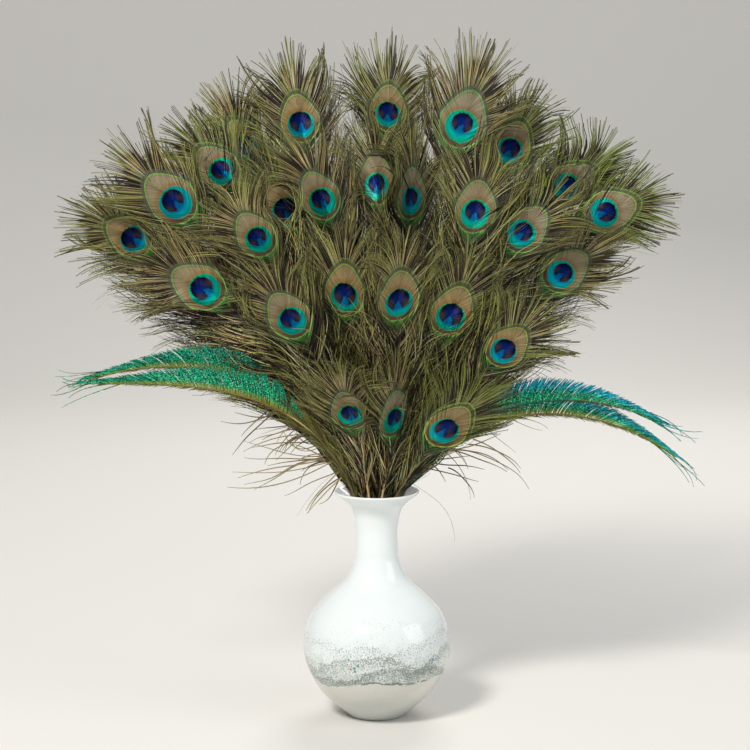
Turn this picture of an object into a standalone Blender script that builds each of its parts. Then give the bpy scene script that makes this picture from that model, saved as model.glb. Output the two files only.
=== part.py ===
"""A bunch of peacock feathers standing in a turned porcelain vase.

Metres, +Z up, seen from the front along +Y. The origin is the middle of the vase's foot.

The bunch is laid out like the leaves of a half-open book. Every feather lies in a page of its own.
A page stands upright in the neck of the vase and leans forward or back above it, each page by its own
angle, so the vanes never cut through each other. Within its page a feather bends to the side, from its
seat in the neck to the place of its eye, and all of it is drawn in the front view (x, z) first.
"""

import math

import bmesh
import bpy
import numpy as np

MM = 0.001

# The vase.
VASE_HEIGHT = 238 * MM  # to the outer edge of the lip, which rises 2 mm more inside
RIM_RADIUS = 44 * MM
NECK_RADIUS = 21.7 * MM
BELLY_RADIUS = 77.9 * MM
FOOT_RADIUS = 30 * MM
WALL = 2.8 * MM
TURNED_STEPS = 32
POINTS_PER_SPAN = 2
# The turned outline from the rim down to the foot, as (radius, height).
VASE_OUTLINE = (
    (RIM_RADIUS, VASE_HEIGHT),
    (28 * MM, 224 * MM),
    (22.4 * MM, 206 * MM),
    (NECK_RADIUS, 186 * MM),
    (23.8 * MM, 167 * MM),
    (33.2 * MM, 146 * MM),
    (55.8 * MM, 124 * MM),
    (70.2 * MM, 106 * MM),
    (BELLY_RADIUS, 79 * MM),
    (73.1 * MM, 53 * MM),
    (58.3 * MM, 26 * MM),
    (FOOT_RADIUS, 0.0),
)

# The pages that the feathers lie in.
HINGE_HEIGHT = 200 * MM  # above this the quills leave the upright
PAGE_BEND = 35 * MM  # how far above the hinge a page has taken up its lean
SEAT_SPACING = 4.4 * MM  # between neighbouring quills in the neck, both ways
QUILL_FOOT = 6 * MM  # the cut ends of the quills stand just off the vase's floor

# The feathers. Barbs are long and swept forward, in locks that leave notches between them.
QUILL_RADIUS = 1.5 * MM
RACHIS_RADIUS = 0.6 * MM  # where the rachis ends above the eye
BARB_LENGTH = 90 * MM
BARE_HEIGHT = 38 * MM  # the quill is bare up to here above the hinge
FULL_HEIGHT = 125 * MM  # and has its full vane from here
RACHIS_PAST_EYE = 24 * MM
TIP_BARB = 72 * MM  # the barbs at the very tip go on straight ahead
LOCKS = 10  # on each side
NOTCH = 0.62  # a notch's share of the length of the locks beside it
LOWER_SWEEP = 50.0  # degrees between a barb and the rachis, low on the feather
EYE_SWEEP = 40.0  # beside the eye
TIP_SWEEP = 18.0  # at the end of the rachis
FAN_LENGTH = 80 * MM  # the end of the rachis along which the barbs fan out around the eye

# One line for each feather with an eye, in millimetres and degrees:
# (seat across the neck, lean of its page, eye's x, eye's height, direction of the tip from upright).
# Forward leans and directions to the right are positive. Rows stand one behind the other in the neck.
EYE_FEATHERS = {
    "front": (
        (-1, 27, -27, 331, -18),
        (0, 22, 17, 324, 1),
        (1, 24.5, 69, 313, 41),
    ),
    "second": (
        (-2, 15.5, -86, 427, -35),
        (-1, 11.5, -32, 450, 2),
        (0, 19.5, 21, 448, 3),
        (1, 13.5, 74, 430, 22),
        (2, 17.5, 128, 396, 42),
    ),
    "third": (
        (-2.5, 4.5, -177, 454, -62),
        (-1.5, 7.5, -120, 507, -36),
        (-0.5, 2.2, 34, 545, 0),
        (0.5, 9.2, 98, 534, 6),
        (1.5, 5.7, 147, 512, 42),
        (2.5, 0.2, 190, 468, 50),
    ),
    "fourth": (
        (-3, -4, -253, 502, -57),
        (-2, -1, -208, 541, -48),
        (-1, -7, -95, 530, -23),
        (0, -2.5, -57, 542, -28),
        (1, -8.5, 0, 556, -2),
        (2, -5.5, 197, 556, 58),
        (3, -2, 235, 530, 72),
    ),
    "back": (
        (-2.5, -10.6, -164, 570, -47),
        (-1.5, -16, -141, 594, -30),
        (-0.5, -12.8, -81, 619, -12),
        (0.5, -18, 12, 629, 3),
        (1.5, -8.8, 89, 618, 20),
        (2.5, -15, 142, 591, 23),
    ),
}
ROW_PLACE = {"front": -3, "second": -2, "third": -1, "fourth": 0, "back": 1}  # in seats behind the axis

# The sword feathers: no eye, arched over to the side, with a dense vane on the upper side only.
SWORD_BARB = 38 * MM
SWORD_UNDER_BARB = 5 * MM
SWORD_TIP = 42 * MM  # the split ends that go on past the rachis
SWORD_LOCKS = 11
# (row, seat, lean, the two handles of the arch and its end, each as x and height in millimetres)
SWORD_FEATHERS = {
    "sword_feather_left_low": ("second", -3, 9.5, (-44, 345), (-150, 362), (-300, 357)),
    "sword_feather_left_high": ("third", -3.5, 0.3, (-48, 340), (-150, 402), (-300, 358)),
    "sword_feather_right_high": ("second", 3, 9.5, (38, 330), (190, 374), (294, 314)),
    "sword_feather_right_low": ("third", 3.5, 3.8, (38, 325), (200, 362), (310, 277)),
}

CLEAR = 1e-6


def new_material(name, colour, roughness):
    """A plain finish: the main colour, linear RGB, and how rough it is."""
    material = bpy.data.materials.new(name)
    material.use_nodes = True
    shader = material.node_tree.nodes["Principled BSDF"]
    shader.inputs["Base Color"].default_value = (*colour, 1)
    shader.inputs["Roughness"].default_value = roughness
    material.diffuse_color = (*colour, 1)
    return material


def smooth_through(points, per_span):
    """A Catmull-Rom curve through the points, per_span steps from each point to the next."""
    points = np.array(points)
    ends = 2 * points[[0, -1]] - points[[1, -2]]
    run = np.vstack([ends[:1], points, ends[1:]])
    out = []
    for a, b, c, d in zip(run, run[1:], run[2:], run[3:]):
        for step in range(per_span):
            t = step / per_span
            out.append(
                b
                + 0.5 * t * (c - a)
                + t**2 * (a - 2.5 * b + 2 * c - 0.5 * d)
                + t**3 * (1.5 * (b - c) + 0.5 * (d - a))
            )
    return [*out, points[-1]]


def make_vase(collection, material):
    """The outline turned about the axis as a surface open at the rim, then given its wall inwards."""
    outline = [(r, 0, z) for r, z in smooth_through(VASE_OUTLINE, POINTS_PER_SPAN)] + [(0, 0, 0)]
    mesh = bpy.data.meshes.new("vase")
    mesh.from_pydata(outline, [(i, i + 1) for i in range(len(outline) - 1)], [])
    vase = bpy.data.objects.new("vase", mesh)
    collection.objects.link(vase)
    mesh.materials.append(material)

    turn = vase.modifiers.new("turned", "SCREW")
    turn.steps = turn.render_steps = TURNED_STEPS
    turn.use_merge_vertices = True
    turn.merge_threshold = CLEAR
    turn.use_smooth_shade = True

    wall = vase.modifiers.new("wall", "SOLIDIFY")
    wall.thickness = WALL
    wall.offset = -1
    wall.use_even_offset = True


def page_y(z, row_y, lean):
    """How far back a page is at a height: a hyperbola, upright at the hinge and then straight."""
    height = np.maximum(z - HINGE_HEIGHT, 0)
    return row_y - math.tan(math.radians(lean)) * (np.hypot(height, PAGE_BEND) - PAGE_BEND)


def heading(degrees):
    """The unit direction in the front view at this angle from upright, to the right."""
    return np.array([math.sin(math.radians(degrees)), math.cos(math.radians(degrees))])


def bezier(points, t):
    """The cubic curve with these four control points."""
    a, b, c, d = (np.array(p) for p in points)
    t = np.asarray(t)[..., None]
    return (1 - t) ** 3 * a + 3 * (1 - t) ** 2 * t * b + 3 * (1 - t) * t**2 * c + t**3 * d


def even_walk(curve, count):
    """Points at even steps along a finely drawn curve, their unit directions and their distances."""
    steps = np.linalg.norm(np.diff(curve, axis=0), axis=1)
    walked = np.concatenate([[0], np.cumsum(steps)])
    wanted = np.linspace(0, walked[-1], count)
    points = np.stack([np.interp(wanted, walked, curve[:, k]) for k in range(2)], axis=1)
    along = np.gradient(points, axis=0)
    return points, along / np.linalg.norm(along, axis=1, keepdims=True), wanted


def turned(direction, degrees):
    """Directions in the front view turned clockwise by these angles."""
    angle = np.radians(degrees)
    cos, sin = np.cos(angle), np.sin(angle)
    x, z = direction[:, 0], direction[:, 1]
    return np.stack([x * cos + z * sin, z * cos - x * sin], axis=1)


def ease(low, high, value):
    """0 below low, 1 above high and smooth between them."""
    t = np.clip((value - low) / (high - low), 0, 1)
    return t * t * (3 - 2 * t)


def loft(name, left, middle, right, thick, tip, row_y, lean, collection, material):
    """A solid of four-cornered sections: two sharp edges, and a ridge before and one behind the page.

    It starts at a cut end and closes in a point at the tip.
    """
    rings = []
    for (lx, lz), (mx, mz), (rx, rz), half in zip(left, middle, right, thick):
        y = page_y(mz, row_y, lean)
        rings.append(
            (
                (lx, page_y(lz, row_y, lean), lz),
                (mx, y - half, mz),
                (rx, page_y(rz, row_y, lean), rz),
                (mx, y + half, mz),
            )
        )
    shape = bmesh.new()
    corners = [[shape.verts.new(corner) for corner in ring] for ring in rings]
    for below, above in zip(corners, corners[1:]):
        for k in range(4):
            n = (k + 1) % 4
            shape.faces.new((below[k], below[n], above[n], above[k]))
    shape.faces.new(corners[0][::-1])
    point = shape.verts.new((tip[0], page_y(tip[1], row_y, lean), tip[1]))
    for k in range(4):
        shape.faces.new((corners[-1][k], corners[-1][(k + 1) % 4], point))
    bmesh.ops.triangulate(shape, faces=shape.faces, quad_method="SHORT_EDGE")
    mesh = bpy.data.meshes.new(name)
    shape.to_mesh(mesh)
    shape.free()
    mesh.materials.append(material)
    collection.objects.link(bpy.data.objects.new(name, mesh))


def quill_sections(seat_x):
    """The bare quill from its cut end up to the hinge: points, and how thick it is there."""
    points = np.array([(seat_x, QUILL_FOOT), (seat_x, HINGE_HEIGHT * 0.97)])
    return points, np.full(2, QUILL_RADIUS)


def make_feather(name, row, seat, lean, path, barbs, tip_barb, collection, material):
    """One feather: the bare quill, then the vane along the path, section by section.

    barbs(distance, height, total) gives, for each section, the lengths of the left and right barbs and
    their sweep in degrees from the rachis. One more barb, tip_barb long, goes straight on at the end.
    """
    seat_x, row_y = seat * SEAT_SPACING, ROW_PLACE[row] * SEAT_SPACING
    points, along, walked = path
    left_barb, right_barb, sweep = barbs(walked, points[:, 1] - HINGE_HEIGHT, walked[-1])
    thick = np.interp(walked, (0, walked[-1]), (QUILL_RADIUS, RACHIS_RADIUS))
    left = points + turned(along, -sweep) * np.maximum(left_barb, 0)[:, None]
    right = points + turned(along, sweep) * np.maximum(right_barb, 0)[:, None]
    # Every section is at least as wide as the rachis, square to it.
    left += turned(along, np.full(len(points), -90)) * thick[:, None]
    right += turned(along, np.full(len(points), 90)) * thick[:, None]

    quill, quill_thick = quill_sections(seat_x)
    side = np.stack([quill_thick, np.zeros(2)], axis=1)
    loft(
        name,
        np.vstack([quill - side, left]),
        np.vstack([quill, points]),
        np.vstack([quill + side, right]),
        np.concatenate([quill_thick, thick]),
        points[-1] + tip_barb * along[-1],
        row_y,
        lean,
        collection,
        material,
    )


def zigzag(count):
    """1 at each lock's tip and NOTCH between locks, with a notch beside the barb at the very tip."""
    return np.where(np.arange(count) % 2 == 0, NOTCH, 1.0)[::-1]


def eye_barbs(walked, height, total):
    """Both sides alike: none on the bare quill, full length along the middle, shorter at the tip."""
    length = BARB_LENGTH * ease(BARE_HEIGHT, FULL_HEIGHT, height)
    to_go = total - walked
    length *= np.interp(to_go, (0, FAN_LENGTH), (TIP_BARB / BARB_LENGTH, 1)) * zigzag(len(walked))
    sweep = np.interp(to_go, (0, FAN_LENGTH / 2, 2 * FAN_LENGTH), (TIP_SWEEP, EYE_SWEEP, LOWER_SWEEP))
    return length, length, sweep


def eye_path(seat, eye, tip_degrees):
    """Up from the seat, out towards the eye and on in the direction of the tip."""
    start, eye = np.array([seat * SEAT_SPACING, HINGE_HEIGHT]), np.array(eye) * MM
    reach = np.linalg.norm(eye - start)
    controls = (
        start,
        start + 0.15 * reach * heading(0.2 * tip_degrees),
        eye - 0.33 * reach * heading(tip_degrees),
        eye,
    )
    curve = bezier(controls, np.linspace(0, 1, 60))
    last = eye + RACHIS_PAST_EYE * heading(tip_degrees)
    return even_walk(np.vstack([curve, last]), 2 * LOCKS + 3)


def sword_barbs(up_is_left):
    def barbs(walked, height, total):
        share = walked / total
        upper = SWORD_BARB * ease(0.32, 0.5, share) * (1 - 0.75 * ease(0.62, 1.0, share))
        upper = upper * zigzag(len(walked))
        under = SWORD_UNDER_BARB * ease(0.3, 0.5, share) * (1 - ease(0.8, 1.0, share))
        sweep = np.interp(share, (0.3, 0.6, 1), (60, 50, 20))
        return (upper, under, sweep) if up_is_left else (under, upper, sweep)

    return barbs


def sword_path(seat, handles):
    start = np.array([seat * SEAT_SPACING, HINGE_HEIGHT])
    controls = [start, *(np.array(p) * MM for p in handles)]
    return even_walk(bezier(controls, np.linspace(0, 1, 60)), 2 * SWORD_LOCKS + 3)


def main():
    for thing in list(bpy.data.objects):
        bpy.data.objects.remove(thing)
    collection = bpy.data.collections.new("peacock_feathers_in_vase")
    bpy.context.scene.collection.children.link(collection)
    make_vase(collection, new_material("porcelain", (0.78, 0.80, 0.79), 0.12))

    for row, feathers in EYE_FEATHERS.items():
        for number, (seat, lean, x, z, tip) in enumerate(feathers, 1):
            name = f"eye_feather_{row}_{number}"
            finish = new_material(name, (0.12, 0.10, 0.04), 0.5)
            path = eye_path(seat, (x, z), tip)
            make_feather(name, row, seat, lean, path, eye_barbs, TIP_BARB, collection, finish)

    for name, (row, seat, lean, *handles) in SWORD_FEATHERS.items():
        finish = new_material(name, (0.0, 0.27, 0.21), 0.35)
        barbs = sword_barbs(up_is_left=seat > 0)
        path = sword_path(seat, handles)
        make_feather(name, row, seat, lean, path, barbs, SWORD_TIP, collection, finish)


main()
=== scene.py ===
# %% [markdown]
# # A fan of peacock feathers in a porcelain vase
#
# This file dresses a plain solid model: a white vase with 27 eyed tail feathers and 4 green sword
# feathers. The solids give every feather its place. Here each one becomes what it really is, a rachis
# with hundreds of separate barbs, and the vase gets its glaze and its painted band.
#
# A barb could be a hair curve, but hair is lost when a model is exported. So every barb is a narrow
# strip of mesh, and all the strips of one feather are worked out together as numpy arrays.

# %% The solid model that everything is built around
import math

import bpy
import numpy as np
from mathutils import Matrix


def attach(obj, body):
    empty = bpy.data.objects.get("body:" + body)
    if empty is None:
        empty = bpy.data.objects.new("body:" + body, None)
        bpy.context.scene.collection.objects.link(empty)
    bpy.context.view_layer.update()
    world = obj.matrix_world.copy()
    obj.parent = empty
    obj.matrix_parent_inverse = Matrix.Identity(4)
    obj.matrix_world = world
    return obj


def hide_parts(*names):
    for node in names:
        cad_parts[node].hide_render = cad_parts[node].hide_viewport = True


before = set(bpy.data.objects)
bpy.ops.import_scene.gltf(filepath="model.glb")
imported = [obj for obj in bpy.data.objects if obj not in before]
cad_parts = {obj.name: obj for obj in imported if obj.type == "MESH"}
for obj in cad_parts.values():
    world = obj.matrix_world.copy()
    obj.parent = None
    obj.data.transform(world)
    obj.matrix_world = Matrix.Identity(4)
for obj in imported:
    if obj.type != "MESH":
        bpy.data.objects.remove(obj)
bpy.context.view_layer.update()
MM = 0.001

# %% [markdown]
# ## Camera, light and floor
#
# The picture is taken with a long lens from a little over two metres away, at about the height of the
# upper feathers and tilted slightly down. A long lens keeps the fan from swelling towards the viewer.
# The light is that of an overcast day: a bright sky all round and one large soft lamp to model the forms.

# %% Camera
CAMERA_PLACE = (-2 * MM, -2222 * MM, 676 * MM)
CAMERA_TILT = 8.04  # degrees down from level
LENS = 103.7  # mm on a 36 mm sensor

camera = bpy.data.objects.new("camera", bpy.data.cameras.new("camera"))
camera.data.lens = LENS
camera.data.sensor_width = 36
camera.location = CAMERA_PLACE
camera.rotation_euler = (math.radians(90 - CAMERA_TILT), 0, 0)
bpy.context.scene.collection.objects.link(camera)
bpy.context.scene.camera = camera
print("camera looks along +Y from", CAMERA_PLACE)

# %% Lamps and sky
def soft_lamp(name, place, aim, size, watts, colour):
    """A square area lamp at a place, turned so that it shines at another place."""
    lamp = bpy.data.lights.new(name, "AREA")
    lamp.size = size
    lamp.energy = watts
    lamp.color = colour
    holder = bpy.data.objects.new(name, lamp)
    holder.location = place
    away = np.array(place) - np.array(aim)
    holder.rotation_euler = (
        math.acos(away[2] / np.linalg.norm(away)),
        0,
        math.atan2(away[1], away[0]) + math.pi / 2,
    )
    bpy.context.scene.collection.objects.link(holder)


MIDDLE = (0, 0, 0.4)
soft_lamp("key_lamp", (-1.1, -1.9, 2.3), MIDDLE, 0.6, 66, (1.0, 0.98, 0.95))
soft_lamp("side_lamp", (2.2, -0.9, 1.3), MIDDLE, 1.4, 12, (0.93, 0.97, 1.0))
soft_lamp("back_lamp", (0.5, 2.0, 1.9), MIDDLE, 1.4, 26, (1.0, 1.0, 1.0))

sky = bpy.data.worlds.new("sky")
sky.use_nodes = True
sky.node_tree.nodes["Background"].inputs["Color"].default_value = (0.93, 0.97, 1.0, 1)
sky.node_tree.nodes["Background"].inputs["Strength"].default_value = 0.42
bpy.context.scene.world = sky
bpy.context.scene.view_settings.view_transform = "Standard"
print("view:", bpy.context.scene.view_settings.view_transform)

# %% [markdown]
# The floor is one large surface that rises behind the vase in a wide curve, as a paper roll does in a
# studio, so no horizon line crosses the picture.

# %% Floor and backdrop in one sweep
FLOOR_HALF = 6.0
SWEEP_START = 2.2
SWEEP_RADIUS = 1.5
SWEEP_STEPS = 16


def grid_mesh(name, points, closed=False):
    """A mesh of quads through points[u, v]: neighbours in the grid are corners of one face."""
    rows, columns = points.shape[:2]
    index = np.arange(rows * columns).reshape(rows, columns)
    if closed:
        index = np.vstack([index, index[:1]])
    quads = np.stack([index[:-1, :-1], index[1:, :-1], index[1:, 1:], index[:-1, 1:]], axis=-1)
    mesh = bpy.data.meshes.new(name)
    mesh.from_pydata(points.reshape(-1, 3).tolist(), [], quads.reshape(-1, 4).tolist())
    mesh.shade_smooth()
    thing = bpy.data.objects.new(name, mesh)
    bpy.context.scene.collection.objects.link(thing)
    return thing


def sweep_line(count):
    """Level ground, a quarter circle of this many points and a wall, as (y, z) along the way."""
    turn = np.linspace(0, math.pi / 2, count)
    arc = np.stack([SWEEP_START + SWEEP_RADIUS * np.sin(turn), SWEEP_RADIUS * (1 - np.cos(turn))], axis=1)
    wall = (SWEEP_START + SWEEP_RADIUS, FLOOR_HALF)
    return np.vstack([[(-FLOOR_HALF, 0)], arc, [wall]])


def paper_roll(steps):
    """The sweep's line carried straight across, as a grid [place on the line, edge]."""
    y, z = sweep_line(steps)[::-1, :, None].swapaxes(0, 1)
    x = np.array([-FLOOR_HALF, FLOOR_HALF]) + 0 * y
    return grid_mesh("floor", np.stack([x, y + 0 * x, z + 0 * x], axis=-1))


floor = paper_roll(SWEEP_STEPS)
print("floor faces:", len(floor.data.polygons))

# %% [markdown]
# ## Writing finishes as expressions
#
# A material here is a formula: how far a point is from the middle of the eye decides its colour. Drawing
# that as a web of nodes by hand is hard to read. A small class wraps a node's output so that `a * b + 1`
# adds the Math nodes for it, and the formula can be written down as it is.

# %% A number on a surface
class Wire:
    """The output of a node. An operator on it adds a Math node and gives that node's output."""

    def __init__(self, finish, socket):
        self.finish = finish
        self.socket = socket

    def maths(self, operation, *values):
        return self.finish.node("ShaderNodeMath", {"operation": operation}, *values)

    def __add__(self, other):
        return self.maths("ADD", self, other)

    def __sub__(self, other):
        return self.maths("SUBTRACT", self, other)

    def __rsub__(self, other):
        return self.maths("SUBTRACT", other, self)

    def __mul__(self, other):
        return self.maths("MULTIPLY", self, other)

    def __truediv__(self, other):
        return self.maths("DIVIDE", self, other)

    def __rtruediv__(self, other):
        return self.maths("DIVIDE", other, self)

    def __pow__(self, other):
        return self.maths("POWER", self, other)

    def __neg__(self):
        return self.maths("MULTIPLY", self, -1)

    def __abs__(self):
        return self.maths("ABSOLUTE", self)

    __radd__ = __add__
    __rmul__ = __mul__


reflected = [key.strip("_") for key in vars(Wire) if key.startswith("__r")]
print("operators that also work with a number before the wire:", ", ".join(reflected))

# %% [markdown]
# A `Finish` is one material. Every node of it but Mix comes from one method, `node`, which is told the
# node's type, its settings, and what goes into its inputs. The other methods are short names for what the
# formulas use most: a mix of two colours, a soft step, and the numbers that a mesh stores at its points.

# %% A material that is written as formulas
def set_stops(ramp, stops):
    """Fills a colour ramp with (place, colour) stops."""
    while len(ramp.elements) > 1:
        ramp.elements.remove(ramp.elements[-1])
    ramp.elements[0].position = stops[0][0]
    ramp.elements[0].color = (*stops[0][1], 1)
    for place, colour in stops[1:]:
        ramp.elements.new(place).color = (*colour, 1)


class Finish:
    """A material whose Principled shader is fed by expressions."""

    def __init__(self, name):
        self.material = bpy.data.materials.new(name)
        self.material.use_nodes = True
        self.tree = self.material.node_tree
        self.shader = self.tree.nodes["Principled BSDF"]

    def node(self, kind, settings, *values, output=0, **named):
        """Adds a node, sets it up, fills its inputs in order and by name, and gives one of its outputs."""
        node = self.tree.nodes.new(kind)
        for key, setting in settings.items():
            if key == "stops":
                set_stops(node.color_ramp, setting)
            else:
                setattr(node, key, setting)
        for key, value in [*enumerate(values), *named.items()]:
            self.feed(node.inputs[key if isinstance(key, int) else key.replace("_", " ")], value)
        return Wire(self, node.outputs[output])

    def feed(self, socket, value):
        """Links a wire to a socket, or sets the socket to a plain number or colour."""
        if isinstance(value, Wire):
            self.tree.links.new(value.socket, socket)
        elif isinstance(value, tuple) and socket.type == "RGBA":
            socket.default_value = (*value, 1)
        else:
            socket.default_value = value

    def mix(self, share, first, second):
        """The colour a share of the way from the first to the second."""
        node = self.tree.nodes.new("ShaderNodeMix")
        node.data_type = "RGBA"
        for name, value in (("Factor", share), ("A", first), ("B", second)):
            kind = "VALUE" if name == "Factor" else "RGBA"
            self.feed(next(s for s in node.inputs if s.name == name and s.type == kind), value)
        return Wire(self, next(s for s in node.outputs if s.type == "RGBA"))

    def ease(self, low, high, value):
        """0 below low, 1 above high and smooth between them. With low above high it falls instead."""
        settings = {"interpolation_type": "SMOOTHSTEP"}
        if low < high:
            return self.node("ShaderNodeMapRange", settings, value, low, high)
        return 1 - self.node("ShaderNodeMapRange", settings, value, high, low)

    def parts(self, kind, whole):
        """The three numbers in a vector or a colour, by a Separate node of this kind."""
        return [Wire(self, part) for part in self.node(kind, {}, whole).socket.node.outputs]

    def stored(self, name):
        """The three numbers of a vector that the mesh stores at its points."""
        vector = self.node("ShaderNodeAttribute", {"attribute_name": name}, output="Vector")
        return self.parts("ShaderNodeSeparateXYZ", vector)

    def noise(self, place, **sizes):
        """A cloudy pattern of numbers round 0.5."""
        return self.node("ShaderNodeTexNoise", {}, place, **sizes)

    def streaks(self, along, chance, **sizes):
        """The same in the plane of (along, chance): long streaks, with another one for each barb."""
        place = self.node("ShaderNodeCombineXYZ", {}, along, chance)
        return self.node("ShaderNodeTexNoise", {"noise_dimensions": "2D"}, place, **sizes)

    def ramp(self, value, *stops):
        """The colour at this value between (place, colour) stops."""
        return self.node("ShaderNodeValToRGB", {"stops": stops}, value)

    def set(self, **values):
        """Feeds the Principled shader's sockets: Base_Color is Base Color."""
        for name, value in values.items():
            self.feed(self.shader.inputs[name.replace("_", " ")], value)
        return self.material


print("short names in a finish:", ", ".join(key for key in vars(Finish) if key[0] != "_"))

# %% [markdown]
# Colours are written down as they look on a screen, in three numbers from 0 to 255, because that is how
# one reads them off. The first finish is the paper of the floor: a warm white with a faint cloudiness.

# %% Colours, and the paper of the floor
def paint(red, green, blue):
    """A colour as it looks on a screen, 0 to 255, turned into the light that a shader works with."""
    return tuple((c / 255) ** 2.2 for c in (red, green, blue))


paper = Finish("pale_paper")
grain = paper.node("ShaderNodeTexNoise", {}, Scale=3.0, Detail=4.0)
paper_colour = paper.mix(grain, paint(226, 222, 216), paint(232, 228, 222))
floor.data.materials.append(paper.set(Base_Color=paper_colour, Roughness=0.9))
print("finish:", paper.material.name)

# %% [markdown]
# ## The bunch
#
# The feathers stand in the neck of the vase in rows, and above it each one lies in a page of its own, like
# the leaves of a half-open book: a page leans forward or back by its own angle, so vanes don't cut through
# each other. The solid model was laid out in this way, so the same few numbers give the middle line of
# every feather again. Everything about feathers is worked out in millimetres and made metres at the end.

# %% Layout, as in the solid model
HINGE_HEIGHT = 200  # above this the quills leave the upright
PAGE_BEND = 35  # how far above the hinge a page has taken up its lean
SEAT_SPACING = 4.4
QUILL_FOOT = 6
QUILL_RADIUS = 1.5
RACHIS_RADIUS = 0.6
RACHIS_PAST_EYE = 24
ROW_PLACE = {"front": -3, "second": -2, "third": -1, "fourth": 0, "back": 1}

# (seat, lean of the page, eye's x, eye's height, direction of the tip, size of the eye, turn of the vane)
EYE_FEATHERS = {
    "front": (
        (-1, 27, -27, 331, -18, 0.88, -8),
        (0, 22, 17, 324, 1, 1.0, 40),
        (1, 24.5, 69, 313, 41, 1.05, 6),
    ),
    "second": (
        (-2, 15.5, -86, 427, -35, 1.0, 5),
        (-1, 11.5, -32, 450, 2, 1.03, -22),
        (0, 19.5, 21, 448, 3, 1.03, 22),
        (1, 13.5, 74, 430, 22, 1.03, 5),
        (2, 17.5, 128, 396, 42, 0.92, -5),
    ),
    "third": (
        (-2.5, 4.5, -177, 454, -62, 1.1, 5),
        (-1.5, 7.5, -120, 507, -36, 0.93, 0),
        (-0.5, 2.2, 34, 545, 0, 1.0, 45),
        (0.5, 9.2, 98, 534, 6, 1.02, 12),
        (1.5, 5.7, 147, 512, 42, 1.0, -6),
        (2.5, 0.2, 190, 468, 50, 0.98, 0),
    ),
    "fourth": (
        (-3, -4, -253, 502, -57, 0.95, 8),
        (-2, -1, -208, 541, -48, 1.15, 4),
        (-1, -7, -95, 530, -23, 1.03, -10),
        (0, -2.5, -57, 542, -28, 0.98, 14),
        (1, -8.5, 0, 556, -2, 1.0, -30),
        (2, -5.5, 197, 556, 58, 1.0, 10),
        (3, -2, 235, 530, 72, 1.03, -4),
    ),
    "back": (
        (-2.5, -10.6, -164, 570, -47, 1.0, 6),
        (-1.5, -16, -141, 594, -30, 0.98, -25),
        (-0.5, -12.8, -81, 619, -12, 0.98, 4),
        (0.5, -18, 12, 629, 3, 0.97, 12),
        (1.5, -8.8, 89, 618, 20, 1.18, 0),
        (2.5, -15, 142, 591, 23, 1.0, -8),
    ),
}

# (row, seat, lean, the two handles of the arch and its end, each as x and height)
SWORD_FEATHERS = {
    "left_low": ("second", -3, 9.5, (-44, 345), (-150, 362), (-300, 357)),
    "left_high": ("third", -3.5, 0.3, (-48, 340), (-150, 402), (-300, 358)),
    "right_high": ("second", 3, 9.5, (38, 330), (190, 374), (294, 314)),
    "right_low": ("third", 3.5, 3.8, (38, 325), (200, 362), (310, 277)),
}
print("feathers with eyes:", sum(map(len, EYE_FEATHERS.values())), "and swords:", len(SWORD_FEATHERS))

# %% [markdown]
# Seen from the front, a feather rises from its seat in the neck and bends out to its eye. A cubic curve
# does that: its two handles say in which direction it sets out and in which it arrives.

# %% Curves in the front view
def heading(degrees):
    """The unit direction in the front view at this angle from upright, to the right."""
    return np.array([math.sin(math.radians(degrees)), math.cos(math.radians(degrees))])


def bezier(points, t):
    """The cubic curve with these four control points."""
    a, b, c, d = (np.array(p, float) for p in points)
    t = t[:, None]
    return (1 - t) ** 3 * a + 3 * (1 - t) ** 2 * t * b + 3 * (1 - t) * t**2 * c + t**3 * d


def eye_path(seat, eye, tip_degrees):
    """Up from the seat, out towards the eye and on in the direction of the tip."""
    start, eye = np.array([seat * SEAT_SPACING, HINGE_HEIGHT]), np.array(eye, float)
    reach = np.linalg.norm(eye - start)
    controls = (
        start,
        start + 0.15 * reach * heading(0.2 * tip_degrees),
        eye - 0.33 * reach * heading(tip_degrees),
        eye,
    )
    return np.vstack([bezier(controls, np.linspace(0, 1, 60)), eye + RACHIS_PAST_EYE * heading(tip_degrees)])


def unit(vectors):
    """Each vector made 1 long."""
    return vectors / np.linalg.norm(vectors, axis=-1, keepdims=True)


def ease(low, high, value):
    """0 below low, 1 above high and smooth between them."""
    t = np.clip((value - low) / (high - low), 0, 1)
    return t * t * (3 - 2 * t)


print("a path has", len(eye_path(0, (20, 500), 10)), "points")

# %% [markdown]
# A rachis is the feather's middle rod. At each place along it three directions are kept: ahead along the
# rod, sideways across the vane, and out of the vane's face. Barbs are then drawn flat, as so much sideways
# and so much ahead, and these directions carry the flat drawing to its place on the bent and turned rod.

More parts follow.
